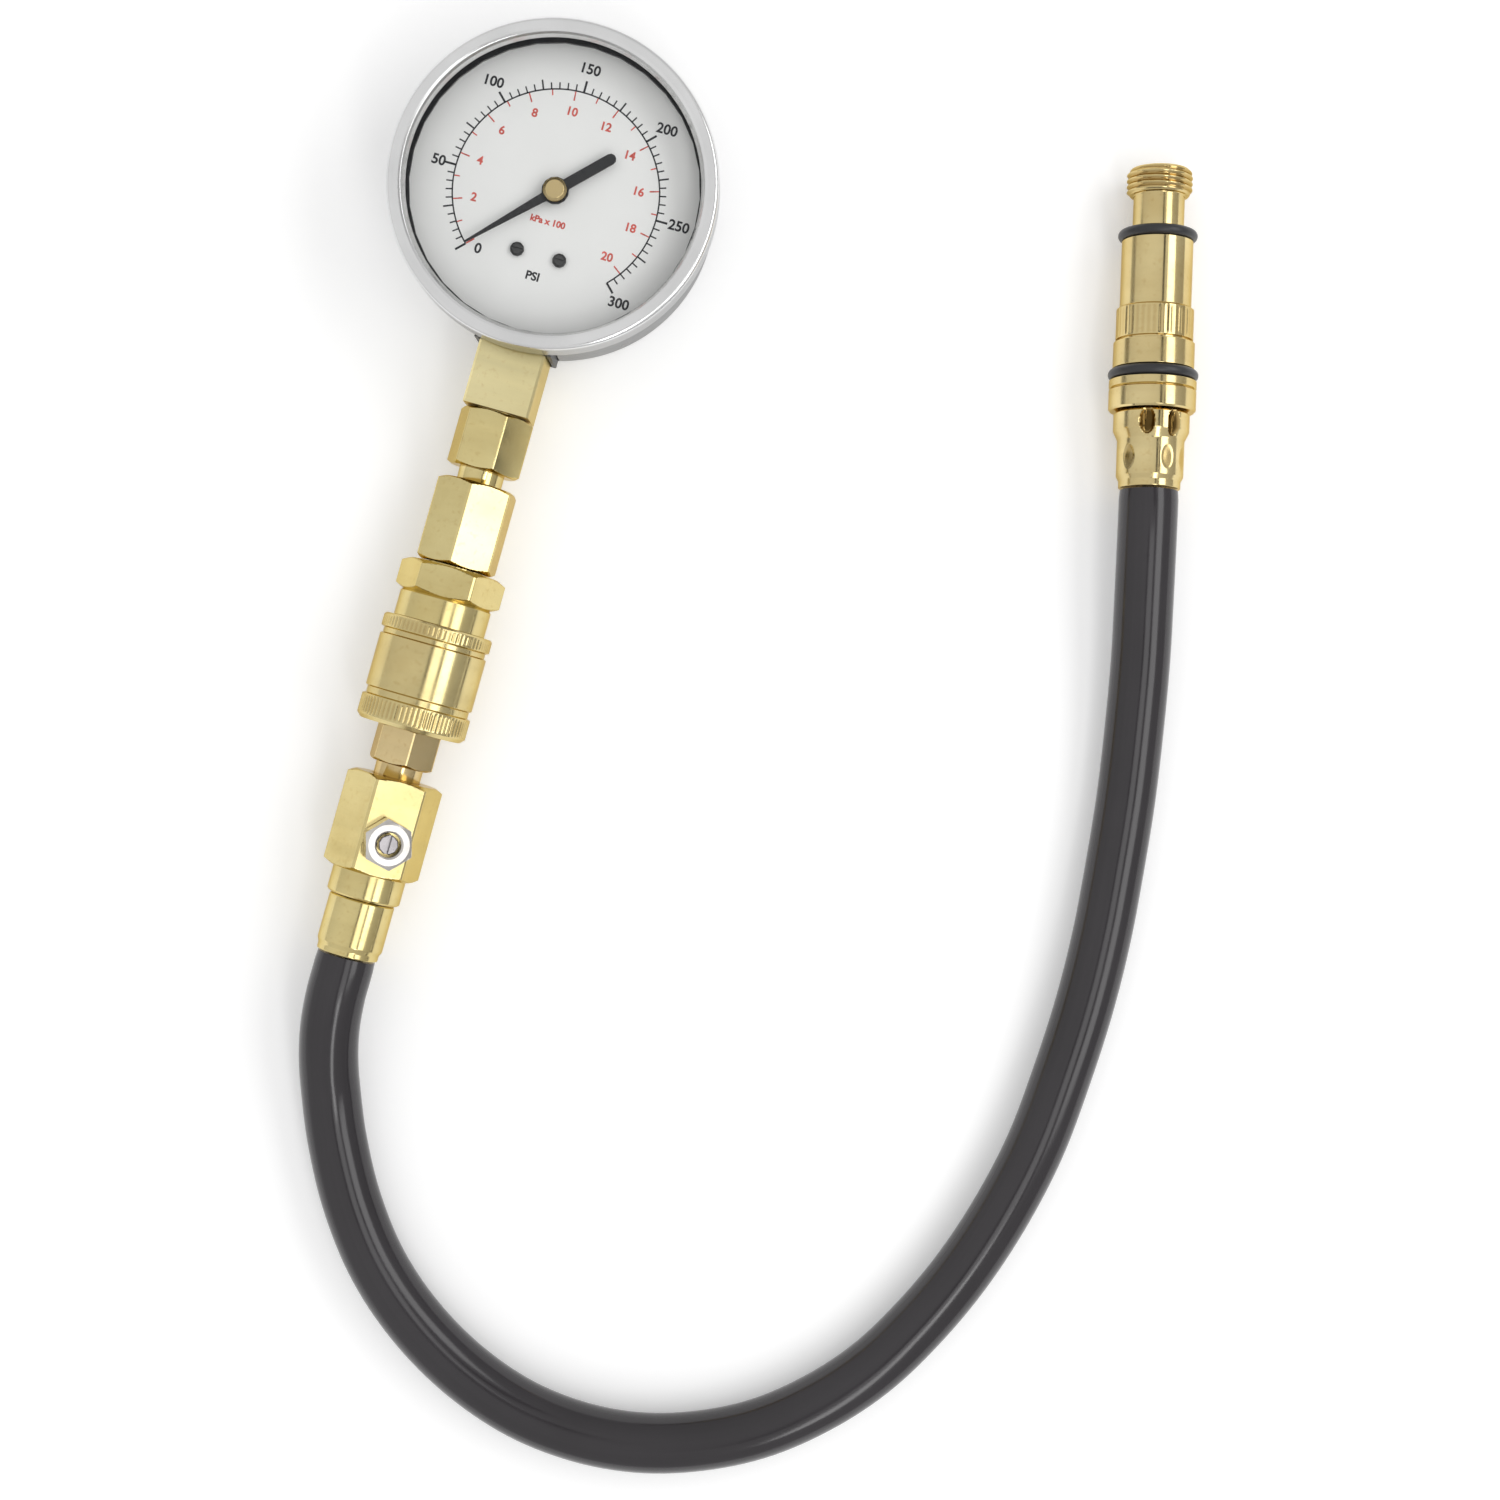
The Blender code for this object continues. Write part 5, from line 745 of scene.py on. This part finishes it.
def make_hub_cap(finish):
    """The pointer's hub: a cap turned about the gauge's axis, with a hollow stem below."""
    corners = [
        (0, 21.98),
        (1.1, 21.98, 0.05),
        (1.1, 19.3, 0.05),
        (1.4, 19.3, 0.05),
        (1.4, 21.5, 0.05),
        (2.5, 21.5, 0.1),
        (2.5, 22.22, 0.2),
        (1.9, 22.7, 0.2),
        (0, 22.7),
    ]
    mesh = lathe("hub_cap", corners, LEVEL, 72)
    piece("hub_cap", mesh, finish, "pointer_group", ["pointer_hub"])


# Printed dial
DIAL_TOP = 19.0
PRINT_THICKNESS = 0.05
SCALE_RADIUS = 21.8
ZERO_DEG = 225.0
SWEEP_DEG = 270.0
FULL_PSI = 300.0
PSI_PER_HUNDRED_KPA = 14.5038
BLACK_NUMBER_RADIUS = 25.6
RED_NUMBER_RADIUS = 17.3
ZERO_NUMBER = (20.2, -7.0)  # the zero stands inside the scale, just past the pointer's tip
BOLD = 0.07
# A tick's reach from the scale's line, and its width
MINOR_TICK = (1.4, 0.28)
MIDDLE_TICK = (2.1, 0.34)
MAJOR_TICK = (2.5, 0.44)


def scale_angle(psi):
    """The angle, in radians, at which a pressure stands on the dial."""
    return np.radians(ZERO_DEG - SWEEP_DEG * np.asarray(psi, dtype=float) / FULL_PSI)


def ticks(angles, inner, outer, width):
    """Flat bars along a radius, all at once: corners at inner and outer, half a width to each side."""
    way = np.stack([np.cos(angles), np.sin(angles)], axis=-1)
    across = np.stack([-way[:, 1], way[:, 0]], axis=-1) * width / 2
    low, high = DIAL_TOP, DIAL_TOP + PRINT_THICKNESS
    outline = [way * inner - across, way * outer - across, way * outer + across, way * inner + across]
    flat = np.stack(outline, axis=1)
    heights = np.broadcast_to(np.array([low, high])[None, :, None, None], (len(angles), 2, 4, 1))
    points = np.concatenate([np.repeat(flat[:, None], 2, axis=1), heights], axis=-1).reshape(-1, 3)
    bar = np.array([(0, 3, 2, 1), (4, 5, 6, 7), (0, 1, 5, 4), (1, 2, 6, 5), (2, 3, 7, 6), (3, 0, 4, 7)])
    faces = (bar[None] + 8 * np.arange(len(angles))[:, None, None]).reshape(-1, 4)
    return points * MM, faces


def scale_line(radius, width, steps=180):
    """A thin band along the scale: a flat rectangle carried round the dial's sweep, closed at both ends."""
    angles = scale_angle(np.linspace(0.0, FULL_PSI, steps + 1))
    low, high = DIAL_TOP, DIAL_TOP + PRINT_THICKNESS
    inner, outer = radius - width / 2, radius + width / 2
    section = np.array([(inner, low), (outer, low), (outer, high), (inner, high)])
    x = section[None, :, 0] * np.cos(angles)[:, None]
    y = section[None, :, 0] * np.sin(angles)[:, None]
    z = np.broadcast_to(section[None, :, 1], x.shape)
    points = np.stack([x, y, z], axis=-1).reshape(-1, 3)
    base = 4 * np.arange(steps)
    faces = []
    for k in range(4):
        following = (k + 1) % 4
        faces.append(np.stack([base + k, base + following, base + 4 + following, base + 4 + k], axis=-1))
    faces = np.vstack(faces + [np.array([[3, 2, 1, 0]]), 4 * steps + np.array([[0, 1, 2, 3]])])
    return points * MM, faces


def lettering(text, size, x, y):
    """Words or figures as a flat mesh, centred on a place on the dial."""
    curve = bpy.data.curves.new("figure", "FONT")
    curve.body = text
    curve.size = size * MM
    curve.align_x = "CENTER"
    curve.align_y = "CENTER"
    curve.extrude = PRINT_THICKNESS / 2 * MM
    curve.offset = BOLD * MM
    curve.resolution_u = 4
    holder = bpy.data.objects.new("figure", curve)
    mesh = bpy.data.meshes.new_from_object(holder)
    count = len(mesh.vertices)
    points = np.empty(count * 3)
    mesh.vertices.foreach_get("co", points)
    points = points.reshape(-1, 3) + np.array([x, y, DIAL_TOP + PRINT_THICKNESS / 2]) * MM
    faces = [tuple(p.vertices) for p in mesh.polygons]
    bpy.data.objects.remove(holder)
    bpy.data.meshes.remove(mesh)
    return points, faces


def printed(name, parts, finish):
    """Several flat prints as one piece."""
    points, faces = [], []
    for some_points, some_faces in parts:
        start = sum(len(p) for p in points)
        points.append(some_points)
        faces += [tuple(int(v) + start for v in face) for face in some_faces]
    mesh = bpy.data.meshes.new(name)
    mesh.from_pydata(np.vstack(points).tolist(), [], faces)
    working = bmesh.new()
    working.from_mesh(mesh)
    bmesh.ops.remove_doubles(working, verts=working.verts, dist=1e-8)
    bmesh.ops.recalc_face_normals(working, faces=working.faces)
    working.to_mesh(mesh)
    working.free()
    return piece(name, mesh, finish, "gauge")


def around(radius, psi):
    """The place on the dial at a radius and a pressure: the radius times its angle's cosine and sine."""
    angle = float(scale_angle(psi))
    return radius * math.cos(angle), radius * math.sin(angle)


def make_dial_print(black, red):
    """The printed scale: black marks and figures for PSI, and red ones inside them for kPa x 100."""
    every = np.arange(0.0, FULL_PSI + 1, 5.0)
    middle = every[(every % 25 == 0) & (every % 50 != 0)]
    major = every[every % 50 == 0]
    minor = every[every % 25 != 0]
    parts = [scale_line(SCALE_RADIUS, 0.3)]
    for marks, (reach, width) in ((minor, MINOR_TICK), (middle, MIDDLE_TICK), (major, MAJOR_TICK)):
        parts.append(ticks(scale_angle(marks), SCALE_RADIUS, SCALE_RADIUS + reach, width))
    for psi in range(0, 301, 50):
        reach = BLACK_NUMBER_RADIUS + (1.2 if psi >= 100 else 0.0)
        x, y = around(reach, psi) if psi else around(*ZERO_NUMBER)
        parts.append(lettering(str(psi), 3.0, x, y))
    parts.append(lettering("PSI", 2.5, 0.0, -18.3))
    printed("scale_black", parts, black)
    units = np.arange(0.0, 20.5, 1.0) * PSI_PER_HUNDRED_KPA
    long = units[::2]
    parts = [ticks(scale_angle(units), SCALE_RADIUS - 1.3, SCALE_RADIUS - 0.15, 0.26)]
    parts.append(ticks(scale_angle(long), SCALE_RADIUS - 2.1, SCALE_RADIUS - 1.2, 0.3))
    for value in range(2, 21, 2):
        x, y = around(RED_NUMBER_RADIUS, value * PSI_PER_HUNDRED_KPA)
        parts.append(lettering(str(value), 2.5, x, y))
    parts.append(lettering("kPa x 100", 1.9, 0.0, -6.4))
    printed("scale_red", parts, red)


# Brass stack
# A hexagon here is its width across the flats, its turn in degrees, and its first and last station
ADAPTER_HEX = (14.3, -9.0, 47.6, 60.2)
LONG_HEX = (15.9, 27.6, 63.0, 81.4)
COUPLER_HEX = (20.0, 1.0, 81.7, 88.5)
PLUG_HEX = (12.7, -13.0, 116.8, 125.1)
VALVE_HEX = (18.3, VALVE_TURN_DEG, 127.9, 148.7)
RELEASE_HEX = (9.5, 14.3, 9.45, 14.05)
BORE = 2.0  # radius of the air's way through the brass
PIPE_PITCH = 1.4
PIPE_THREAD_DEPTH = 0.5
SLEEVE_TEETH = 72
EDGE_STEP = 0.12  # the outline's step at a hexagon's chamfers and on a thread that shows


def milled(name, outline, place, hexagon, inner, zones, reliefs=()):
    """A turned piece with a hexagon on it: the radius is the lesser of the turned one and the hexagon's."""
    angles = hexagon_angles(hexagon[1])
    return lathe(name, outline, place, angles, [hexagon], reliefs, zones, inner=inner)


def make_adapter(finish):
    """The upper adapter: a hexagon on a threaded pipe, bored through."""
    width, _, low, high = ADAPTER_HEX
    outline = hex_blank(width, low, high, 0.3)
    outline += [(4.9, high, 0.05), (4.9, 70.7), (4.4, 71.2), (BORE, 71.2)]
    outline += [(BORE, 56.0), (5.3, 56.0), (5.3, low)]
    zones = [(low, 49.5, EDGE_STEP), (58.5, high, EDGE_STEP)]
    zones += [(high, 64.5, EDGE_STEP), (64.5, 71.2, 0.3)]
    threads = [thread(high, 71.0, PIPE_PITCH, PIPE_THREAD_DEPTH)]
    mesh = milled("adapter_hexagon", outline, STACK, ADAPTER_HEX, 4.3, zones, threads)
    piece("adapter_hexagon", mesh, finish, "gauge", ["stem_adapter"])


def make_long_hexagon(finish):
    """The long adapter: a hexagon bored wide from both ends."""
    width, _, low, high = LONG_HEX
    outline = hex_blank(width, low, high, 0.6)
    outline += [(6.0, high), (6.0, 73.4), (BORE, 73.4), (BORE, 71.5), (5.2, 71.5), (5.2, low)]
    zones = [(low, 65.5, EDGE_STEP), (79.0, high, EDGE_STEP)]
    mesh = milled("long_hexagon", outline, STACK, LONG_HEX, 6.5, zones)
    piece("long_hexagon", mesh, finish, "gauge", ["long_hex_adapter"])


def make_coupler(finish):
    """The coupler's body: the end in the long hexagon, a hexagon, a round neck and the sleeve's tube."""
    width, _, low, high = COUPLER_HEX
    outline = [(BORE, 73.7), (5.7, 73.7), (5.7, low)]
    outline += hex_blank(width, low, high, 0.5)
    outline += [(9.5, high, 0.05), (9.9, 88.9, 0.15), (9.9, 94.5, 0.3), (7.5, 94.5), (7.5, 110.1, 0.05)]
    outline += [(6.9, 110.1, 0.05), (6.9, 111.7, 0.05), (7.5, 111.7, 0.05), (7.5, 116.5), (5.7, 116.5)]
    outline += [(5.3, 116.1), (5.3, 101.0, 0.05), (6.5, 101.0, 0.05), (6.5, 99.2, 0.05)]
    outline += [(5.3, 99.2, 0.05), (5.3, 97.6), (BORE, 97.6)]
    zones = [(low, 84.0, EDGE_STEP), (86.0, high, EDGE_STEP)]
    mesh = milled("coupler_hexagon", outline, STACK, COUPLER_HEX, 8.0, zones)
    piece("coupler_hexagon", mesh, finish, "gauge", ["coupler_body"])


def make_sleeve(finish):
    """The sliding sleeve: a turned grip with two grooves and a knurled band at each end."""
    rear, full, band, groove = 10.3, 11.8, 11.6, 11.1
    outline = [(rear, 94.3), (full - 0.4, 94.3), (full, 94.7), (full, 97.2, 0.1)]
    outline += [(groove, 97.5, 0.1), (groove, 98.5, 0.1), (band, 98.8, 0.1)]
    outline += [(band, 110.1, 0.1), (groove, 110.4, 0.1), (groove, 111.7, 0.1), (full, 112.0, 0.1)]
    outline += [(full, 116.3, 0.2), (10.9, 117.2, 0.2), (9.2, 117.2, 0.2)]
    outline += [(9.2, 110.1), (7.8, 110.1), (7.8, 104.1), (rear, 104.1)]
    bands = [knurl(112.2, 116.1, SLEEVE_TEETH, 0.16), knurl(94.8, 97.1, SLEEVE_TEETH, 0.1)]
    zones = [(112.0, 116.3, 0.3), (94.7, 97.2, 0.3)]
    mesh = lathe("sleeve_grip", outline, STACK, 6 * SLEEVE_TEETH, reliefs=bands, zones=zones, inner=11.3)
    piece("sleeve_grip", mesh, finish, "sleeve_group", ["coupler_sleeve"])


def make_plug(finish):
    """The coupler's plug: a nipple with its ball groove, a small hexagon and a threaded pipe."""
    width, _, low, high = PLUG_HEX
    outline = [(BORE, 98.2), (4.5, 98.2), (5.0, 98.7), (5.0, 105.8), (4.0, 106.3)]
    outline += [(4.0, 109.9), (5.0, 110.4), (5.0, low)]
    outline += hex_blank(width, low, high, 0.3)
    outline += [(5.1, high, 0.05), (5.1, 135.4), (4.6, 135.9), (BORE, 135.9)]
    zones = [(low, 118.5, EDGE_STEP), (123.5, high, EDGE_STEP)]
    zones += [(high, 130.0, EDGE_STEP), (130.0, 135.9, 0.3)]
    threads = [thread(high, 135.7, PIPE_PITCH, PIPE_THREAD_DEPTH)]
    mesh = milled("plug_hexagon", outline, STACK, PLUG_HEX, 4.55, zones, threads)
    piece("plug_hexagon", mesh, finish, "hose_side", ["coupler_plug"])


def make_valve(finish):
    """The valve body: a large hexagon, a turned collar and the spigot inside the near ferrule."""
    width, _, low, high = VALVE_HEX
    outline = hex_blank(width, low, high, 0.4)
    outline += [(7.9, high, 0.15), (7.9, 153.9, 0.15), (7.5, 154.3, 0.1), (3.5, 154.3), (3.5, 166.5)]
    outline += [(BORE, 166.5), (BORE, 136.2), (5.4, 136.2), (5.4, low)]
    zones = [(low, 130.2, EDGE_STEP), (146.4, high, EDGE_STEP)]
    mesh = milled("valve_hexagon", outline, STACK, VALVE_HEX, 6.0, zones)
    piece("valve_hexagon", mesh, finish, "hose_side", ["valve_body"])


def make_near_ferrule(finish):
    """The near ferrule: a short turned tube with six shallow dents round it."""
    outline = [(3.8, 154.6), (6.8, 154.6, 0.1), (7.05, 154.9, 0.15), (7.05, 164.6, 0.5)]
    outline += [(6.6, 165.6, 0.4), (6.6, 166.8, 0.2), (3.8, 166.8)]
    marks = [dents([(160.0, 60.0 + 60.0 * k, 3.6, 2.0, 0.14) for k in range(6)])]
    mesh = lathe("near_ferrule_skin", outline, STACK, reliefs=marks, zones=[(155, 166, 0.3)], inner=6.3)
    piece("near_ferrule_skin", mesh, finish, "hose_side", ["near_ferrule"])


def make_release(finish):
    """The release valve: a hexagon on its own axis, with a round recess that holds the button."""
    width, _, low, high = RELEASE_HEX
    outline = [(1.1, 5.25), (3.7, 5.25), (3.7, low, 0.05)]
    outline += hex_blank(width, low, high, 0.45)
    outline += [(3.0, high, 0.15), (2.6, 13.65, 0.15), (2.6, 6.75), (1.1, 6.75)]
    zones = [(low, 11.0, 0.1), (12.6, high, 0.1)]
    mesh = milled("release_hexagon", outline, RELEASE, RELEASE_HEX, 4.0, zones)
    piece("release_hexagon", mesh, finish, "hose_side", ["release_valve_body"])


# Port fitting
UP_DEG = 90.0  # the angle of the port's upper side
PORT_TEETH = 40
PORT_PITCH = 1.25


def make_far_ferrule(finish):
    """The far ferrule: narrow at the hose, wide at its skirt, with deep dents and six shallow ones.

    The photograph shows two deep dents on top. Two more stand below, about where the CAD piece has its own.
    """
    outline = [(3.8, 0.0), (6.6, 0.0, 0.2), (6.6, 1.5, 0.3), (7.15, 2.5, 0.4), (7.15, 10.2, 0.8)]
    outline += [(8.1, 12.2, 0.8), (8.1, 15.8, 0.15), (7.7, 16.2, 0.15), (3.8, 16.2)]
    spots = []
    for facing in (UP_DEG, -UP_DEG):
        spots += [(13.6, facing + 15.0, 2.8, 1.7, 1.4), (13.4, facing - 28.0, 2.8, 1.6, 1.4)]
    for turn_deg in (-62.0, -22.0, 48.0, 110.0, 180.0, 240.0):
        spots.append((6.2, UP_DEG + turn_deg, 2.6, 1.5, 0.2))
    zones = [(2.5, 15.8, 0.2)]
    mesh = lathe("far_ferrule_skin", outline, FAR, 216, reliefs=[dents(spots)], zones=zones, inner=6.3)
    piece("far_ferrule_skin", mesh, finish, "hose_side", ["far_ferrule"])


def make_port_brass(finish):
    """The port fitting, turned in one piece: collar, knurl, barrel, neck and threaded head."""
    outline = [(BORE, 0.3), (3.5, 0.3), (3.5, 16.5), (8.9, 16.5, 0.1), (9.3, 16.9, 0.15)]
    outline += [(9.3, 20.9, 0.1), (8.8, 21.2, 0.05), (9.3, 21.5, 0.1), (9.3, 23.1, 0.15)]
    outline += [(7.0, 23.1), (7.0, 25.7), (8.65, 25.7, 0.15), (8.65, 31.3, 0.15)]
    outline += [(7.6, 31.3, 0.05), (7.6, 31.9, 0.05), (8.25, 31.9, 0.1), (8.25, 38.4, 0.1)]
    outline += [(7.6, 38.8, 0.1), (7.6, 53.2, 0.1), (5.95, 53.2), (5.95, 55.7), (5.45, 55.7)]
    outline += [(5.45, 63.1, 0.4), (6.2, 63.1, 0.1), (7.0, 63.9, 0.1), (7.0, 67.9, 0.1)]
    outline += [(6.2, 68.69, 0.1), (3.0, 68.69), (3.0, 55.0), (BORE, 55.0)]
    reliefs = [thread(63.2, 68.6, PORT_PITCH, 0.42), knurl(32.0, 38.3, PORT_TEETH, 0.08)]
    zones = [(63.1, 68.7, 0.1), (31.9, 38.4, 0.4)]
    mesh = lathe("port_brass", outline, FAR, 6 * PORT_TEETH, reliefs=reliefs, zones=zones, inner=5.6)
    piece("port_brass", mesh, finish, "hose_side", ["port_fitting"])


def make_seal_rings(finish):
    """The two rubber rings: a circle carried round the port's axis.

    Its points are outer - half + half cos t from the axis, at the station + half sin t.
    """
    turns = np.arange(24) * 2 * math.pi / 24
    for name, (station, outer, half), node in (
        ("upper_ring", UPPER_SEAL, "upper_seal_ring"),
        ("lower_ring", LOWER_SEAL, "lower_seal_ring"),
    ):
        circle = [(outer - half + half * math.cos(t), station + half * math.sin(t), 0) for t in turns]
        piece(name, lathe(name, circle, FAR, 160), finish, "hose_side", [node])


# Stage
SKY_LEAN_DEG = 30.0  # the surround is brightest this far from overhead, towards the photograph's left
SKY_BRIGHT = 0.82
SKY_DIM = 0.42
FLOOR_HALF_M = 3.0
FLOOR_LIFT = 0.2  # makes the floor paper white to the camera, so that the lamps can stay low


def set_floor():
    """A pale square floor, lifted to paper white for the camera and for what mirrors it."""
    floor = bpy.data.meshes.new("floor")
    half = FLOOR_HALF_M
    corners = [(-half, -half, 0), (half, -half, 0), (half, half, 0), (-half, half, 0)]
    floor.from_pydata(corners, [], [(0, 1, 2, 3)])
    sheet = bpy.data.objects.new("floor", floor)
    bpy.context.scene.collection.objects.link(sheet)
    made = Finish("floor_paper")
    made.colour(made.ramp(made.noise(8.0, 2.0), [(0.3, (0.93, 0.93, 0.93)), (0.7, (0.95, 0.95, 0.95))]))
    made.set("Roughness", 0.8)
    made.set("Specular IOR Level", 0.1)
    made.set("Emission Color", (1.0, 1.0, 1.0, 1.0))
    seen = made.nodes.new("ShaderNodeLightPath")
    lift = made.nodes.new("ShaderNodeMath")
    lift.operation = "MULTIPLY"
    lift.inputs[1].default_value = FLOOR_LIFT
    total = seen.outputs["Is Camera Ray"]
    for kind in ("Is Glossy Ray", "Is Transmission Ray"):
        both = made.nodes.new("ShaderNodeMath")
        both.operation = "MAXIMUM"
        made.join(total, both.inputs[0])
        made.join(seen.outputs[kind], both.inputs[1])
        total = both.outputs["Value"]
    made.join(total, lift.inputs[0])
    made.join(lift.outputs["Value"], made.shader.inputs["Emission Strength"])
    floor.materials.append(made.material)


def set_surround():
    """A grey-white sky whose brightness follows the cosine of the angle from its brightest place."""
    world = bpy.data.worlds.new("surround")
    bpy.context.scene.world = world
    world.use_nodes = True
    nodes, links = world.node_tree.nodes, world.node_tree.links
    way = nodes.new("ShaderNodeTexCoord")
    turn = math.radians(CAMERA_TURN_DEG)
    lean = math.radians(SKY_LEAN_DEG)
    along = nodes.new("ShaderNodeVectorMath")
    along.operation = "DOT_PRODUCT"
    left = -math.sin(lean)
    along.inputs[1].default_value = (left * math.cos(turn), left * math.sin(turn), math.cos(lean))
    links.new(way.outputs["Generated"], along.inputs[0])
    level = nodes.new("ShaderNodeMapRange")
    level.inputs["From Min"].default_value = -0.5
    level.inputs["From Max"].default_value = 1.0
    level.inputs["To Min"].default_value = SKY_DIM
    level.inputs["To Max"].default_value = SKY_BRIGHT
    links.new(along.outputs["Value"], level.inputs["Value"])
    links.new(level.outputs["Result"], nodes["Background"].inputs["Color"])
    nodes["Background"].inputs["Strength"].default_value = 1.0


def set_stage():
    """The floor, the surround, three soft lamps and three dark cards."""
    set_floor()
    set_surround()
    lamp("key", (0.8, 0.1), 0.85, (0.45, 1.2), 4.0)
    lamp("strip", (0.27, -0.2), 0.95, (0.3, 0.6), 0.72)
    lamp("hose_strip", (0.31, -0.72), 0.93, (0.17, 0.6), 1.4)
    flag("flag_left", (0.055, -0.2), 0.93, (0.08, 0.6))
    flag("flag_right", (0.49, -0.1), 0.9, (0.08, 0.8))
    flag("flag_port", (0.33, 0.36), 0.93, (0.1, 0.4))


def studio_place(across, height):
    """A frame over the table, in metres: across is how far to the photograph's right and up from its middle.

    Its Z points away from the table's middle, and its Y runs along the photograph's up.
    """
    turn = math.radians(CAMERA_TURN_DEG)
    middle = Vector((CAMERA_PLACE[0] * MM, CAMERA_PLACE[1] * MM, 0.0))
    right = Vector((math.cos(turn), math.sin(turn), 0.0))
    up = Vector((-math.sin(turn), math.cos(turn), 0.0))
    place = middle + right * across[0] + up * across[1] + Vector((0.0, 0.0, height))
    away = (place - middle).normalized()
    side = up.cross(away).normalized()
    return Matrix.Translation(place) @ Matrix((side, away.cross(side), away)).transposed().to_4x4()


def lamp(name, across, height, size, power):
    """A soft lamp of a width and a length, in metres, turned to the middle of the table."""
    data = bpy.data.lights.new(name, "AREA")
    data.shape = "RECTANGLE"
    data.size, data.size_y = size
    data.energy = power
    holder = bpy.data.objects.new(name, data)
    holder.matrix_world = studio_place(across, height)
    bpy.context.scene.collection.objects.link(holder)


def flag(name, across, height, size):
    """A dark card beside a lamp: brass mirrors it as a brown band beside the white one."""
    x, y = size[0] / 2, size[1] / 2
    mesh = bpy.data.meshes.new(name)
    mesh.from_pydata([(-x, -y, 0), (x, -y, 0), (x, y, 0), (-x, y, 0)], [], [(0, 1, 2, 3)])
    card = bpy.data.objects.new(name, mesh)
    card.matrix_world = studio_place(across, height)
    made = Finish("black_card")
    made.colour(made.ramp(made.noise(6.0, 2.0), [(0.3, 0.01), (0.7, 0.02)]))
    made.set("Roughness", 0.9)
    mesh.materials.append(made.material)
    bpy.context.scene.collection.objects.link(card)


def paint_nodes(finishes):
    """Gives each CAD node that is still shown its finish, by the slot that the record names for it."""
    for part in frame["record"]["subparts"]:
        node = frame["nodes"][part["node"]]
        if node.hide_render:
            continue
        finish = finishes[part["material_slot"]]
        for holder in node.material_slots:
            holder.material = finish
        if not node.material_slots:
            node.data.materials.append(finish)


def main():
    """Makes the camera, the hose, the finishes, the pieces and the stage."""
    set_camera()
    hose, middle = make_hose(hose_rubber())
    far_turn = (0.0, 0.0, math.radians(FAR_HEADING_DEG - 90.0))
    pale = brass("brass_bright", (0.79, 0.67, 0.33), (0.68, 0.55, 0.24), 0.5, gloss=0.12)
    sleeve = brass("brass_sleeve", (0.76, 0.64, 0.32), (0.63, 0.50, 0.23), 0.6, gloss=0.13)
    red_brass = brass("brass_plug", (0.75, 0.59, 0.31), (0.60, 0.45, 0.21), 0.6, gloss=0.16)
    port = brass("brass_port", (0.78, 0.64, 0.33), (0.66, 0.51, 0.23), 0.5, turn=far_turn, gloss=0.1)
    stem = brass("brass_stem", (0.90, 0.80, 0.45), (0.83, 0.72, 0.38), 0.9, gloss=0.26)
    case_steel = spun_steel("case_steel", (0.52, 0.52, 0.52), 0.2)
    bezel_steel = spun_steel("bezel_steel", (0.84, 0.84, 0.84), 0.16)
    nickel = plain_steel("nickel", (0.74, 0.71, 0.67), 0.14)
    black_rubber = rubber("ring_rubber", (0.02, 0.02, 0.022), 0.35)
    black = print_ink("black_ink", (0.02, 0.02, 0.025))
    red = print_ink("red_ink", (0.58, 0.10, 0.08))

    make_bezel(bezel_steel)
    make_case(case_steel)
    make_hub_cap(red_brass)
    make_dial_print(black, red)
    make_adapter(pale)
    make_long_hexagon(pale)
    make_coupler(pale)
    make_sleeve(sleeve)
    make_plug(red_brass)
    make_valve(pale)
    make_near_ferrule(pale)
    make_release(nickel)
    make_far_ferrule(port)
    make_port_brass(port)
    make_seal_rings(black_rubber)
    paint_nodes(
        {
            "brass": stem,
            "stainless_steel": case_steel,
            "small_steel": plain_steel("screw_steel", (0.6, 0.6, 0.61), 0.28),
            "spring_steel": plain_steel("spring_wire", (0.55, 0.55, 0.56), 0.25),
            "dark_steel": plain_steel("blackened_steel", (0.12, 0.12, 0.12), 0.35),
            # the nickel plate is given a dark grey, darker than the nickel: painted shade of the recess the
            # release button sits in
            "nickel_plate": plain_steel("button_shaded_steel", (0.42, 0.40, 0.41), 0.18),
            "rubber": black_rubber,
            "hose_rubber": black_rubber,
            "clear_glass": clear_glass(),
            "dial_paint": enamel(),
            "pointer_paint": print_ink("pointer_black", (0.018, 0.018, 0.02)),
        }
    )
    on_hose = ["near_ferrule_skin", "far_ferrule_skin", "port_brass", "upper_ring", "lower_ring"]
    on_hose += ["valve_core_body", "core_pin", "core_spring"]
    set_stage()
    bpy.context.scene.view_settings.view_transform = "Standard"


main()
